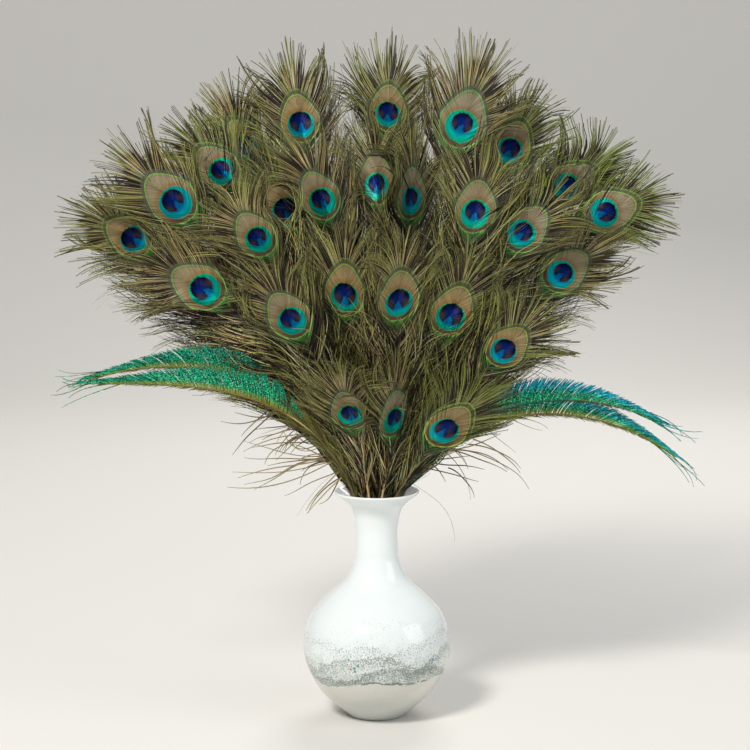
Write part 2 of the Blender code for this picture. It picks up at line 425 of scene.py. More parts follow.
# %% The rachis
class Rachis:
    """The middle line of a feather, from the cut end of its quill, with the directions along it."""

    STATIONS = 90

    def __init__(self, path, row, lean, turn):
        row_y = ROW_PLACE[row] * SEAT_SPACING
        steps = np.linalg.norm(np.diff(path, axis=0), axis=1)
        walked = np.concatenate([[0], np.cumsum(steps)])
        self.length = walked[-1]
        even = np.linspace(0, self.length, self.STATIONS)
        vane = np.stack([np.interp(even, walked, path[:, k]) for k in range(2)], axis=1)
        foot = np.linspace(QUILL_FOOT, HINGE_HEIGHT, 8)[:-1]
        quill = np.stack([np.full(7, path[0, 0]), foot], axis=1)
        x, z = np.vstack([quill, vane]).T
        self.walked = np.concatenate([foot - HINGE_HEIGHT, even])

        # A page's y is a hyperbola of the height: upright at the hinge and then straight.
        height = np.maximum(z - HINGE_HEIGHT, 0)
        tilt = math.tan(math.radians(lean))
        self.place = np.stack([x, row_y - tilt * (np.hypot(height, PAGE_BEND) - PAGE_BEND), z], axis=1)
        slope = -tilt * height / np.hypot(height, PAGE_BEND)

        self.ahead = unit(np.gradient(self.place, self.walked, axis=0))
        face = np.stack([np.zeros(len(x)), -np.ones(len(x)), slope], axis=1)
        face = unit(face - self.ahead * (face * self.ahead).sum(axis=1, keepdims=True))
        side = np.cross(self.ahead, face)
        angle = np.radians(turn * ease(0, self.length * 0.8, self.walked))[:, None]
        self.face = face * np.cos(angle) + side * np.sin(angle)
        self.side = side * np.cos(angle) - face * np.sin(angle)

    def at(self, distance):
        """Place, ahead, side and face at these distances above the hinge."""
        return [
            np.stack([np.interp(distance, self.walked, table[:, k]) for k in range(3)], axis=-1)
            for table in (self.place, self.ahead, self.side, self.face)
        ]


trial = Rachis(eye_path(0, (12, 629), 3), "back", -18, 12)
print("a back feather is", round(trial.length), "mm long above the hinge")

# %% [markdown]
# ## Barbs
#
# A barb leaves the rachis at a wide angle and bends forward. Its line is found by adding up short steps
# along its heading, which is how a turtle draws. All the barbs on one side of a feather are one array,
# [barb, step, xyz], so there is no loop over them.

# %% Lines of barbs
DROOP = 10  # mm that the tip of a level barb hangs lower than a stiff one


def barb_lines(rachis, root, side, length, leaving, arriving, curl, lift, steps, sway=0.0):
    """Middle lines of barbs.

    The heading, from the rachis outwards, goes from the leaving angle to the arriving angle by
    1 - (1 - share) squared, plus curl times share cubed, where share runs from 0 at the root to 1 at the
    tip. Sway adds one slow wave, as the sine of six times share, which grows with share. Summed steps along
    the heading give the flat line, and lift raises it out of the vane's face.
    """
    share = np.linspace(0, 1, steps + 1)
    middle = (share[1:] + share[:-1]) / 2
    bend = 1 - (1 - middle) ** 2
    angle = leaving[:, None] + (arriving - leaving)[:, None] * bend + curl[:, None] * middle**3
    angle = angle + np.reshape(sway, (-1, 1)) * np.sin(6 * middle) * middle
    angle = np.radians(angle)
    step = length[:, None] / steps
    start = np.zeros((len(root), 1))
    sideways = np.hstack([start, np.cumsum(np.sin(angle) * step, axis=1)]) * side
    forwards = np.hstack([start, np.cumsum(np.cos(angle) * step, axis=1)])
    place, ahead, across, face = (table[:, None] for table in rachis.at(root))
    line = place + across * sideways[..., None] + ahead * forwards[..., None] + face * lift[..., None]
    outwards = np.abs(unit(np.gradient(line, axis=1))[..., :2]).sum(axis=-1)
    line[..., 2] -= DROOP * outwards * share**2 * (length / 90)[:, None]
    return line


one = np.ones(1)
one_barb = barb_lines(trial, 200 * one, 1, 90 * one, 50 * one, 30 * one, 0 * one, np.zeros((1, 10)), 9)
print("a barb of 90 mm reaches", round(np.ptp(one_barb[0, :, 0])), "mm out from its rachis")

# %% [markdown]
# Real barbs don't lie evenly. Neighbours cling together in locks, whole stretches of a vane curve alike,
# and where the neck and the lip of the vase hold the bunch, everything is drawn in towards its middle.

# %% Locks, waves and the mouth of the vase
MOUTH_HEIGHTS = (200, 212, 224, 240, 250, 268, 287, 310, 333, 350)  # mm
# How far from the vase's axis the barbs stay at those heights (mm), at the left and at the right.
ROOM_LEFT = (16, 17, 20, 25, 33, 44, 56, 82, 141, 300)
ROOM_RIGHT = (16, 17, 20, 25, 35, 60, 88, 116, 170, 300)


def in_locks(count, size, rng):
    """The number of each barb's lock, and its middle barb. A lock starts by chance, once in size barbs."""
    lock = np.cumsum(rng.random(count) < 1 / size)
    lock -= lock[0]
    first = np.flatnonzero(np.diff(lock, prepend=-1))
    middle = first + np.diff(np.append(first, count)) // 2
    return lock, middle[lock]


def flow(count, turns, rng):
    """A slow random wave from barb to barb, so that neighbours curve alike: three sines, of turns radians
    from the first barb to the last, of twice and of three times as many."""
    along = np.linspace(0, turns, count)
    return sum(rng.normal(0, 1 / times) * np.sin(times * along + rng.uniform(0, 6)) for times in (1, 2, 3))


def drawn_together(line, middle, strength):
    """Each barb is drawn towards the middle barb of its lock, by strength times share squared."""
    pull = strength * np.linspace(0, 1, line.shape[1])[:, None] ** 2
    return line + (line[middle] - line) * pull


def held_by_the_mouth(line, rng):
    """Draws points in towards the vase's axis until they are no farther from it than there is room."""
    left, right = (np.interp(line[..., 2], MOUTH_HEIGHTS, room) for room in (ROOM_LEFT, ROOM_RIGHT))
    room = np.where(line[..., 0] < 0, left, right) * rng.uniform(0.85, 1.15, (len(line), 1))
    away = np.hypot(line[..., 0], line[..., 1])
    squeeze = np.minimum(1, room / np.maximum(away, 1))
    return line * np.stack([squeeze, squeeze, np.ones_like(squeeze)], axis=-1)


locks_of_200 = in_locks(200, 3.5, np.random.default_rng(1))[0]
print("200 barbs in", locks_of_200[-1] + 1, "locks")

# %% [markdown]
# A line becomes a ribbon: two edges, half a width to each side. What the finish has to know at each corner
# is stored beside it, so that one material serves every barb of every feather.

# %% Ribbons and what they carry
def ribbons(line, width, face, twist):
    """A narrow strip along each line, width mm wide and turned about its line, as [barb, step, 2, xyz].

    The strip's edges lie half a width to each side, in the direction that is square to the line and,
    before the twist, to the vane's face.
    """
    ahead = unit(np.gradient(line, axis=1))
    flat = unit(np.cross(face, ahead))
    stood = np.cross(ahead, flat)
    across = flat * np.cos(twist)[..., None] + stood * np.sin(twist)[..., None]
    half = across * width[..., None] / 2
    return np.stack([line - half, line + half], axis=2)


class Strips:
    """Strips of one kind on one feather: their corners, and what the finish has to know at each corner.

    box is the part of the bake's map (left, bottom, right, top) that they are laid out in, row by row.
    """

    def __init__(self, corners, chance, kind, box, columns=1, closed=False, material=0):
        self.corners = corners
        count, steps, wide = corners.shape[:3]
        grid = np.ones((count, steps, wide))
        self.share = grid * np.linspace(0, 1, steps)[None, :, None]
        across = np.linspace(0, 1, wide)
        if closed:
            across = 1 - np.abs(2 * np.arange(wide) / wide - 1)
        self.across = grid * across
        self.tone = np.stack([grid * chance[:, None, None], self.across, grid * kind], axis=-1)
        left, bottom, right, top = box
        rows = -(-count // columns)
        row, column = np.divmod(np.arange(count), columns)
        u = left + (right - left) * (column[:, None, None] + 0.02 + 0.96 * self.share) / columns
        v = bottom + (top - bottom) * (row[:, None, None] + 0.05 + 0.9 * self.across) / rows
        self.map = np.stack([u, v], axis=-1)
        index = np.arange(corners[..., 0].size).reshape(count, steps, wide)
        if closed:
            index = np.concatenate([index, index[:, :, :1]], axis=2)
        low, high = index[:, :-1], index[:, 1:]
        self.quads = np.stack(
            [low[:, :, :-1], low[:, :, 1:], high[:, :, 1:], high[:, :, :-1]], axis=-1
        ).reshape(-1, 4)
        self.material = material


one_ribbon = ribbons(one_barb, np.ones((1, 10)), np.array([0.0, -1.0, 0.0]), np.zeros((1, 10)))
print("quads in a barb of 9 steps:", len(Strips(one_ribbon, one, 0, (0, 0, 1, 1)).quads))

# %% [markdown]
# One mesh holds all the strips of a feather. Blender can take whole arrays at once with `foreach_set`,
# which is far quicker than adding faces one by one.

# %% From strips to one mesh
KEPT_AT_CORNERS = ("place", "tone", "habit")


def feather_mesh(name, strips, eye_frame, habit, finishes):
    """One object made of groups of strips.

    Each corner keeps its place as seen from the middle of the eye (across, ahead, share of the barb), its
    tone (chance, across the strip, kind) and the feather's habit, which its finish reads.
    """
    corners = np.concatenate([s.corners.reshape(-1, 3) for s in strips])
    share = np.concatenate([s.share.ravel() for s in strips])
    tone = np.concatenate([s.tone.reshape(-1, 3) for s in strips])
    maps = np.concatenate([s.map.reshape(-1, 2) for s in strips])
    starts = np.cumsum([0] + [s.corners[..., 0].size for s in strips[:-1]])
    quads = np.concatenate([s.quads + start for s, start in zip(strips, starts)])
    eye, ahead, side, scale = eye_frame
    seen = (corners - eye) / scale
    place = np.stack([seen @ side, seen @ ahead, share], axis=-1)

    mesh = bpy.data.meshes.new(name)
    mesh.vertices.add(len(corners))
    mesh.vertices.foreach_set("co", (corners * MM).ravel())
    mesh.loops.add(quads.size)
    mesh.loops.foreach_set("vertex_index", quads.ravel())
    mesh.polygons.add(len(quads))
    mesh.polygons.foreach_set("loop_start", np.arange(len(quads)) * 4)
    materials = np.concatenate([np.full(len(s.quads), s.material) for s in strips])
    mesh.polygons.foreach_set("material_index", materials)
    mesh.update(calc_edges=True)
    mesh.shade_smooth()
    for key, values in zip(KEPT_AT_CORNERS, (place, tone, np.broadcast_to(habit, corners.shape))):
        attribute = mesh.attributes.new(key, "FLOAT_VECTOR", "POINT")
        attribute.data.foreach_set("vector", values.astype(np.float32).ravel())
    mesh.uv_layers.new(name="OFBake").data.foreach_set("uv", maps[quads.ravel()].ravel())
    for finish in finishes:
        mesh.materials.append(finish)
    thing = bpy.data.objects.new(name, mesh)
    bpy.context.scene.collection.objects.link(thing)
    return thing


print("kept at each corner:", ", ".join(KEPT_AT_CORNERS))

# %% [markdown]
# The rod is a thin tube. It could be a curve with a bevel, but as one closed strip that runs round and
# along it goes into the same mesh as the barbs, and carries the same numbers for its finish.

# %% The rod
ROD_SIDES = 6


def rachis_tube(rachis, tip_radius, box, behind=0.0, unshaded_quill=0.0):
    """The rod itself: a ring at each place, with the quill's radius up to the hinge and then tapering
    evenly to that of the tip, set back by behind times its radius, and closed by a point at each end."""
    turn = np.linspace(0, 2 * math.pi, ROD_SIDES, endpoint=False)
    radii = (QUILL_RADIUS, QUILL_RADIUS, tip_radius)
    radius = np.interp(rachis.walked, (-HINGE_HEIGHT, 0, rachis.length), radii)
    middle = rachis.place - rachis.face * (behind * radius)[:, None]
    ring = rachis.side[:, None] * np.cos(turn)[:, None] + rachis.face[:, None] * np.sin(turn)[:, None]
    corners = middle[:, None] + ring * radius[:, None, None]
    first, last = (middle[end, None, None] + 0 * corners[:1] for end in (0, -1))
    corners = np.concatenate([first, corners, last])
    # its chance says whether the rod is spared the painted shade low down (1) or gets it (0)
    return Strips(corners[None], np.array([unshaded_quill]), 2, box, closed=True, material=1)


print("a rod has", len(rachis_tube(trial, RACHIS_RADIUS, (0, 0, 1, 1)).quads), "quads")

# %% [markdown]
# ## Finishes of an eyed feather
#
# The colours of a peacock's feather come from the fine structure of its barbs, and change at sharp lines
# that run across all the barbs. So the eye is not painted barb by barb. Its finish is a map in the plane of
# the feather, in millimetres from the middle of the blue disc: an egg with a bright outline, a disc in it,
# a dark heart in the disc with a notch from below. Each barb shifts the map by a hair, which gives the
# lines their slightly feathered edge.

# %% The map of an eye
EGG_MIDDLE = 5  # how far the egg's middle lies ahead of the disc's
EGG_HALF_WIDTH = 20.8
EGG_AHEAD = 27.5  # from its middle to its outline
EGG_BEHIND = 25.5
EGG_TAPER = 0.013  # how much it narrows with each mm ahead
DISC_HALF_WIDTH = 14.8
DISC_AHEAD = 14.0
DISC_BEHIND = 15.8
HEART_MIDDLE = 2.4
HEART_HALF_WIDTH = 10.6
HEART_HALF_LENGTH = 10.2


def length_of(x, y):
    """The distance of a point (x, y) from the middle."""
    return (x * x + y * y) ** 0.5


def above_zero(vane, distance):
    return vane.node("ShaderNodeMath", {"operation": "MAXIMUM"}, distance, 0.0)


def each_way(vane, distance, ahead, behind):
    """A distance as a share of one length where it is above 0 and of another where it is below."""
    below_zero = vane.node("ShaderNodeMath", {"operation": "MINIMUM"}, distance, 0.0)
    return above_zero(vane, distance) / ahead + below_zero / behind


class EyeMap:
    """Where a point of the vane lies in the drawing of the eye, and what its barb is like.

    ahead and across are millimetres from the middle of the disc. egg, disc and heart say how far out the
    point is in each of those forms, with 1 on the outline: the length of (across by the half width, ahead
    by the half length). The notch in the heart is the inside of a parabola, where notch is below 0.
    """

    def __init__(self, vane):
        across, ahead, self.share = vane.stored("place")
        self.chance, self.over, kind = vane.stored("tone")
        self.blueness, self.warmth, self.yellowness = vane.stored("habit")
        self.in_plate = vane.ease(0.5, 0.9, kind) * vane.ease(1.5, 1.1, kind)
        shift = self.chance * 1.4 - 0.7
        a = self.ahead = ahead + shift
        b = self.across = across + shift * 0.3
        up = a - EGG_MIDDLE
        taper = 1 + above_zero(vane, up) * EGG_TAPER
        self.egg = length_of(b / EGG_HALF_WIDTH * taper, each_way(vane, up, EGG_AHEAD, EGG_BEHIND))
        self.disc = length_of(b / DISC_HALF_WIDTH, each_way(vane, a, DISC_AHEAD, DISC_BEHIND))
        grown = self.warmth * 0.24 + 0.9
        self.heart = length_of(b / HEART_HALF_WIDTH, (a - HEART_MIDDLE) / HEART_HALF_LENGTH) / grown
        self.notch = b * b + (a + shift * 2 + 1) * 2.4
        self.streak = vane.streaks(self.share * 3, self.chance * 60, Scale=1.6, Detail=3.0)


def ring(vane, distance, middle, half):
    """1 nearer than half to the middle distance, and 0 soon beyond."""
    return vane.ease(half * 1.3, half * 0.6, abs(distance - middle))


print("the egg is", 2 * EGG_HALF_WIDTH, "mm wide and its disc", 2 * DISC_HALF_WIDTH)

# %% [markdown]
# The barbs themselves go from nearly black through brown to a pale bronze, each with a tone of its own and
# a touch of green or red. Painted shade darkens them at their roots, where light hardly gets between them,
# and they are paler in the fringe. Round the egg they turn green, with a grey-brown band close by.

# %% Colours of the barbs
def barb_colour(vane, at):
    """A tone by chance, then paler by the share along the barb, and greener by the distance from the egg."""
    colour = vane.ramp(
        at.chance * 0.86 + at.streak * 0.14,
        (0.0, paint(10, 6, 3)),
        (0.38, paint(42, 29, 15)),
        (0.52, paint(122, 92, 56)),
        (0.66, paint(238, 202, 148)),
        (0.8, paint(186, 176, 98)),
        (1.0, paint(255, 250, 216)),
    )
    kin = vane.node("ShaderNodeMath", {"operation": "FRACT"}, at.chance * 37)
    colour = vane.node("ShaderNodeHueSaturation", {}, Hue=0.5 + (kin - 0.42) * 0.11, Color=colour)
    pale = vane.ease(0.4, 0.95, at.share) * (vane.ease(0.15, 0.5, at.chance) * 0.36 + at.in_plate * 0.42)
    colour = vane.mix(pale, colour, paint(184, 176, 112))
    # painted shade: each barb darker near its root, where light hardly gets between the barbs
    colour = vane.mix(vane.ease(0.16, 0.02, at.share) * 0.6, colour, paint(24, 18, 9))
    bright = vane.ease(0.5, 0.6, at.chance) * vane.ease(0.3, 0.8, at.share)
    colour = vane.mix(bright * (at.yellowness * 0.9 + 0.1), colour, paint(190, 212, 54))
    green_rim = vane.ease(1.6, 1.1, at.egg) * vane.ease(0.3, 0.9, at.chance) * at.in_plate
    colour = vane.mix(green_rim * 0.75, colour, paint(60, 124, 56))
    under_egg = vane.ease(-12, -24, at.ahead) * vane.ease(1.5, 1.0, at.egg) * at.in_plate
    colour = vane.mix(under_egg * vane.ease(0.1, 0.6, at.chance) * 0.85, colour, paint(64, 156, 62))
    band = ring(vane, at.egg, 1.11, 0.075) * vane.ease(-8, 6, at.ahead)
    colour = vane.mix(band * at.in_plate * 0.8, colour, paint(106, 92, 82))
    return vane.mix(vane.ease(0.2, 0.6, at.chance) * at.yellowness * 0.4, colour, paint(92, 134, 62))


def line_colour(vane, at):
    """The bright line round the egg, green on some feathers and yellow on others."""
    return vane.mix(at.yellowness * 0.6 + at.warmth * 0.5, paint(96, 188, 92), paint(178, 200, 62))


def second_line(vane, at):
    """How strongly a second line shows outside the first, on yellow and on warm feathers."""
    twice = vane.ease(0.5, 0.8, at.yellowness) + vane.ease(0.55, 0.7, at.warmth) * 0.6
    return ring(vane, at.egg, 1.22, 0.028) * vane.ease(4, 18, at.ahead) * twice * at.in_plate * 0.7


print("light from the palest barb, in red, green and blue:", [round(c, 2) for c in paint(255, 250, 216)])

# %% [markdown]
# Inside the bright line lie the forms that everyone knows: the golden egg, browner at its foot and near
# the disc, the turquoise disc with a green rim, and the heart, deep blue in the middle and nearly black at
# its edge, with two bronze lobes beside the notch.

# %% Colours of the egg, the disc and the heart
def egg_colour(vane, at):
    """Gold, to bronze near the disc, to brown behind it, and darker towards the outline."""
    gold = vane.mix(at.warmth, paint(160, 150, 122), paint(172, 148, 100))
    bronze = vane.mix(at.warmth, paint(150, 122, 80), paint(164, 122, 62))
    gold = vane.mix(vane.ease(1.45, 1.05, at.disc), gold, bronze)
    gold = vane.mix(vane.ease(0, -14, at.ahead), gold, paint(100, 72, 48))
    gold = vane.mix(vane.ease(0.86, 1.0, at.egg) * 0.5, gold, paint(84, 70, 48))
    gold = vane.mix(vane.ease(0.45, 0.75, at.streak) * 0.2, gold, paint(196, 178, 132))
    return vane.mix(vane.ease(0.6, 0.0, at.chance) * 0.24, gold, paint(78, 56, 34))


def disc_colour(vane, at):
    """Turquoise with a greener rim, darker on some barbs, and blue round the notch."""
    turquoise = vane.mix(at.blueness, paint(0, 210, 184), paint(0, 204, 230))
    rim = vane.mix(at.blueness, paint(0, 192, 122), paint(0, 184, 164))
    colour = vane.mix(vane.ease(0.72, 0.98, at.disc), turquoise, rim)
    colour = vane.mix(vane.ease(0.5, 0.0, at.chance) * 0.4, colour, paint(0, 108, 116))
    near_notch = vane.ease(1.3, 0.85, at.heart) * vane.ease(5, -3, at.ahead)
    return vane.mix(near_notch * 0.75, colour, paint(0, 88, 184))


def heart_colour(vane, at):
    """Blue to near black by the distance from the heart's middle, with bronze lobes and some sheen."""
    depth = vane.mix(vane.ease(0.2, 1.0, at.heart), paint(8, 48, 136), paint(12, 6, 26))
    lobes = vane.ease(6, -2, at.ahead) * vane.ease(2, 8, abs(at.across))
    colour = vane.mix(lobes * 0.85, depth, paint(90, 74, 64))
    sheen = vane.ease(5, -1, abs(at.across - 4)) * vane.ease(0.3, 0.7, at.streak)
    return vane.mix(sheen * vane.ease(-3, 1, at.ahead) * 0.4, colour, paint(112, 96, 92))


print("the heart is", 2 * HEART_HALF_WIDTH, "mm wide on an eye of the usual size")

# %% [markdown]
# Now the parts are laid over each other. Each barb also gets painted shade across its width, darker at its
# edges as if it were round, and the disc shines like metal where the barbs beside it are only satin.

# %% The vane's finish, and that of the rod
def vane_finish():
    vane = Finish("eyed_vane")
    at = EyeMap(vane)
    line = line_colour(vane, at)
    colour = vane.mix(second_line(vane, at), barb_colour(vane, at), line)
    inside = vane.ease(1.02, 0.96, at.egg) * at.in_plate
    colour = vane.mix(inside, colour, egg_colour(vane, at))
    colour = vane.mix(ring(vane, at.egg, 1.0, 0.027) * at.in_plate, colour, line)
    colour = vane.mix(vane.ease(1.04, 0.97, at.disc) * at.in_plate, colour, disc_colour(vane, at))
    in_heart = vane.ease(1.05, 0.92, at.heart) * vane.ease(-2, 5, at.notch)
    colour = vane.mix(in_heart * at.in_plate, colour, heart_colour(vane, at))
    rounded = 1 - abs(at.over * 2 - 1) ** 2
    # painted shade: each barb darker towards its edges, as if it were round, less so inside the egg
    colour = vane.mix((1 - rounded) * (0.55 - inside * 0.25), colour, paint(16, 11, 6))
    shine = vane.ease(1.05, 0.9, at.disc) * at.in_plate
    return vane.set(
        Base_Color=colour,
        Roughness=0.46,
        Metallic=0.18 + shine * 0.74,
        Normal=vane.node("ShaderNodeBump", {}, Strength=0.5, Distance=0.0006, Height=rounded),
    )


def rod_finish():
    """Horn, pale at the quill and dark at the tip. Painted shade darkens it low down, but for the front
    quills.
    """
    rod = Finish("rachis_rod")
    share = rod.stored("place")[2]
    unshaded_quill = rod.stored("tone")[0]
    mottle = rod.noise(rod.node("ShaderNodeTexCoord", {}, output="Object"), Scale=90.0, Detail=3.0)
    horn = rod.ramp(
        share + (mottle - 0.5) * 0.12,
        (0.0, paint(240, 222, 182)),
        (0.3, paint(232, 204, 148)),
        (0.45, paint(172, 138, 90)),
        (0.75, paint(116, 92, 58)),
        (1.0, paint(80, 64, 42)),
    )
    # painted shade on the lower rod, in the vase and among the barbs; the front quills are spared it
    painted_shade_low = (1 - unshaded_quill) * rod.ease(0.6, 0.4, share)
    return rod.set(Base_Color=rod.mix(painted_shade_low * 0.85, horn, paint(74, 60, 36)), Roughness=0.34)


eyed_vane = vane_finish()
rachis_rod = rod_finish()
print("nodes in the vane's finish:", len(eyed_vane.node_tree.nodes))

# %% [markdown]
# ## An eyed feather
#
# There are three kinds of barb on it. Loose barbs grow along most of the rachis and hang together in locks.
# Around the eye the barbs lie close side by side, like a plate, and run out past it as a fringe. A backing
# of plain brown barbs lies just behind the plate, because a peacock's feather is dull on its back.
#
# No two feathers are alike. The tables below say in what the single feathers differ from the usual one.

# %% How the feathers differ
BARE = 24  # mm of bare quill above the hinge
BARE_IN_FRONT = {"front_1": 50, "front_2": 44, "front_3": 4}
# Quills at the front, in view, that get no painted shade low down on the rod.
QUILLS_WITHOUT_PAINTED_SHADE = ("front_1", "front_2")
# How close the loose barbs of a row keep to the quill, from 0 for spread wide.
HUGGING = {"front": 1.0, "second": 0.35, "third": 0.1, "fourth": 0.0, "back": 0.0}
YELLOWNESS = {
    "front_3": 0.9,
    "fourth_3": 0.85,
    "fourth_6": 1.0,
    "fourth_7": 0.9,
    "back_1": 0.8,
    "back_6": 0.9,
}
# The length of the fringe as a share of the usual.
FRINGE = {
    "second_3": 0.86,
    "second_4": 0.92,
    "third_6": 0.95,
    "fourth_6": 0.95,
    "fourth_7": 0.86,
    "back_3": 1.12,
    "back_4": 1.1,
}
# The spacing of the loose barbs as a share of the usual.
OPENNESS = {
    "third_3": 1.2,
    "third_4": 1.35,
    "third_5": 1.5,
    "third_6": 1.5,
    "fourth_4": 1.3,
    "fourth_5": 1.3,
    "fourth_6": 1.6,
    "fourth_7": 1.5,
    "back_3": 1.3,
    "back_4": 1.5,
    "back_5": 1.5,
    "back_6": 1.6,
}
# How far the tips of the loose barbs at the left and at the right of some feathers hang back (mm), so that
# the sword feathers stand before them.
HANG_BACK = {
    "front_1": (0, 20),
    "front_3": (12, 16),
    "second_1": (34, 0),
    "second_5": (0, 34),
    "third_1": (24, 0),
    "third_6": (0, 24),
}
print("feathers of wider spacing:", len(OPENNESS), "and with a fringe of their own:", len(FRINGE))

# %% [markdown]
# ## Combing
#
# Whoever arranges such a bunch strokes the barbs aside that hang before another feather's eye. The same is
# done here. As seen from the camera, each barb that would cross an eye is bent round it, and the barbs of
# one lock are combed together or not at all. Some eyes are left a little more covered than others.

# %% Where the eyes are
COMBED_RADIUS = 19  # mm, for an eye of the usual size
COMBED_AHEAD = {"fourth_3": 10, "fourth_5": 12, "back_6": 8}  # mm from the eye's middle to that of the gap
USUAL_COMBED_AHEAD = 4
# The share of the locks before an eye that is combed aside.
COMBED = {
    "front_1": 1.0,
    "front_2": 1.0,
    "second_2": 0.7,
    "second_3": 0.85,
    "third_5": 0.6,
    "fourth_1": 1.0,
    "fourth_3": 0.95,
    "fourth_4": 0.7,
    "fourth_5": 0.8,
    "fourth_6": 0.5,
    "back_1": 0.85,
    "back_2": 0.1,
    "back_4": 0.9,
}
USUAL_COMBED = 0.98


def rachis_and_gap(row, number, seat, lean, x, z, tip, size, turn):
    """The rachis of one feather, and the middle and the radius of the gap that is combed before its eye."""
    rachis = Rachis(eye_path(seat, (x, z), tip), row, lean, turn)
    place, ahead, _, _ = rachis.at(np.array(rachis.length - RACHIS_PAST_EYE))
    onwards = COMBED_AHEAD.get(f"{row}_{number}", USUAL_COMBED_AHEAD)
    return rachis, (place + onwards * ahead, COMBED_RADIUS * size)


rachises, gaps = {}, {}
for row, feathers in EYE_FEATHERS.items():
    for number, feather in enumerate(feathers, 1):
        rachises[f"{row}_{number}"], gaps[f"{row}_{number}"] = rachis_and_gap(row, number, *feather)
print("the longest rachis:", round(max(rachis.length for rachis in rachises.values())), "mm above the hinge")

# %% [markdown]
# The bend has to be widest where a barb passes closest to the middle of the eye, and fade along the barb.
# So each point is moved by an amount that depends on its distance from that middle, and mostly in the
# direction from the middle to the place where its barb passes closest.

# %% Combing barbs aside
TINY = 0.01  # mm, added so that nothing is divided by zero
OUTWARDS = 0.45  # the part that a point's own direction from the middle has in its way


def way_past(offset, distance):
    """The direction in which each point goes aside.

    It leads square to the barb, from the middle of the eye to the barb's nearest point, with a smaller
    part of the direction from the middle to the point itself.
    """
    barb = np.arange(len(offset))
    nearest = distance[:, 1:-1, 0].argmin(1) + 1
    along = offset[barb, nearest + 1] - offset[barb, nearest - 1]
    along /= np.linalg.norm(along, axis=-1, keepdims=True) + TINY
    aside = offset[barb, nearest]
    aside = aside - (aside * along).sum(-1, keepdims=True) * along
    aside /= np.linalg.norm(aside, axis=-1, keepdims=True) + TINY
    way = OUTWARDS * offset / distance + aside[:, None]
    return way / (np.linalg.norm(way, axis=-1, keepdims=True) + TINY)


def combed_aside(line, middle, own, rng):
    """Bends barbs that hang before another feather's eye.

    Each point is carried along its sight line to the depth of the eye. There its distance r from the
    middle of the gap grows by the cube root of (r cubed + R cubed) less r: that is R in the middle, and
    hardly anything far away. It is carried back with the same bend.
    """
    camera_at = np.array(CAMERA_PLACE) / MM
    patience = rng.random(len(line))[middle][:, None, None]
    for name, (eye, radius) in gaps.items():
        if name == own:
            continue
        sight = line - camera_at
        away = (eye[1] - camera_at[1]) / sight[..., 1:2]
        offset = (camera_at + sight * away - eye) * (1, 0, 1)
        distance = np.linalg.norm(offset, axis=-1, keepdims=True) + TINY
        push = np.cbrt(distance**3 + radius**3) - distance
        before = ease(-4, 4, eye[1] - line[..., 1:2]) * ease(3 * radius, 2 * radius, distance)
        keen = patience < COMBED.get(name, USUAL_COMBED)
        line = line + way_past(offset, distance) * push * before * keen / away
    return line


print("eyes with a gap combed before them:", len(gaps))

# %% [markdown]
# ## The loose barbs
#
# They leave the quill steeply low down and more widely higher up. In the front rows they hug the quill and
# some of them cross it. Chance gives each lock, and less strongly each barb, its own length, angle, curl
# and depth, and slow waves along the rachis make whole stretches lean alike.

# %% Loose barbs
LOOSE_SPACING = 0.52  # mm between their roots
LOOSE_LENGTH = 92
LOOSE_LOCK = 3.4  # barbs
LOOSE_STEPS = 9
PLATE_START = -40  # mm from the middle of the eye, along the rachis
PLATE_OVERLAP = 6


def loose_barbs(rachis, bare, eye_at, size, side, spacing, hang_back, hugging, rng):
    """The barbs below the eye, on one side, in locks. Hanging back takes their tips behind the vane."""
    top = eye_at + (PLATE_START + PLATE_OVERLAP) * size
    count = int((top - bare) / spacing)
    root = np.linspace(bare, top, count) + rng.normal(0, 0.4, count)
    grown = ease(-20, 105, root)
    near_eye = ease(top - 95, top - 10, root)
    lock, middle = in_locks(count, LOOSE_LOCK, rng)
    of_lock = rng.normal(0, 1, (lock[-1] + 1, 6))[lock]
    length = LOOSE_LENGTH * (0.5 + 0.5 * grown) * (1 + 0.06 * of_lock[:, 0] + rng.normal(0, 0.07, count))
    wide = 1 - 0.66 * hugging
    leaving = 12 + 38 * grown * wide + 3 * of_lock[:, 1] + rng.normal(0, 5, count)
    waves = 0.08 * count
    arriving = 5 + (19 * grown - 6 * near_eye) * wide + 8 * flow(count, waves, rng)
    arriving = arriving + 4 * of_lock[:, 2] + rng.normal(0, 5, count)
    crossing = np.where(rng.random(count) < 0.45 * hugging, -0.7, 1)
    curl = 28 * flow(count, waves, rng) + 10 * of_lock[:, 3] + rng.normal(0, 12, count)
    share = np.linspace(0, 1, LOOSE_STEPS + 1)
    depth = np.minimum(7 * of_lock[:, 4] + rng.normal(0, 2.5, count), 8 - 5 * hugging)
    depth = depth * (1 - 0.7 * near_eye) - 7 * near_eye
    lift = (depth[:, None] - hang_back) * share + rng.normal(0, 0.5, count)[:, None]
    lift = lift + 1.6 * hugging * ease(0, 0.15, share)
    sway = 12 * flow(count, waves, rng) + 6 * of_lock[:, 5] + rng.normal(0, 8, count)
    angles = leaving * crossing, arriving * crossing, curl
    line = barb_lines(rachis, root, side, length, *angles, lift, LOOSE_STEPS, sway)
    line = combed_aside(drawn_together(line, middle, 0.4), middle, "", rng)
    line = held_by_the_mouth(line, rng)
    width = np.interp(share, (0, 0.5, 1), (0.75, 0.65, 0.32)) * rng.uniform(0.75, 1.3, count)[:, None]
    twist = rng.uniform(-0.9, 0.9, count)[:, None] + 0.5 * share * rng.normal(0, 1, count)[:, None]
    tone = rng.beta(0.5, 0.78, count)
    chance = np.where(rng.random(count) < 0.75, tone, tone[middle])
    return ribbons(line, width, rachis.at(root)[3][:, None], twist), chance


print("loose barbs on 300 mm of rachis:", 2 * int(300 / LOOSE_SPACING))

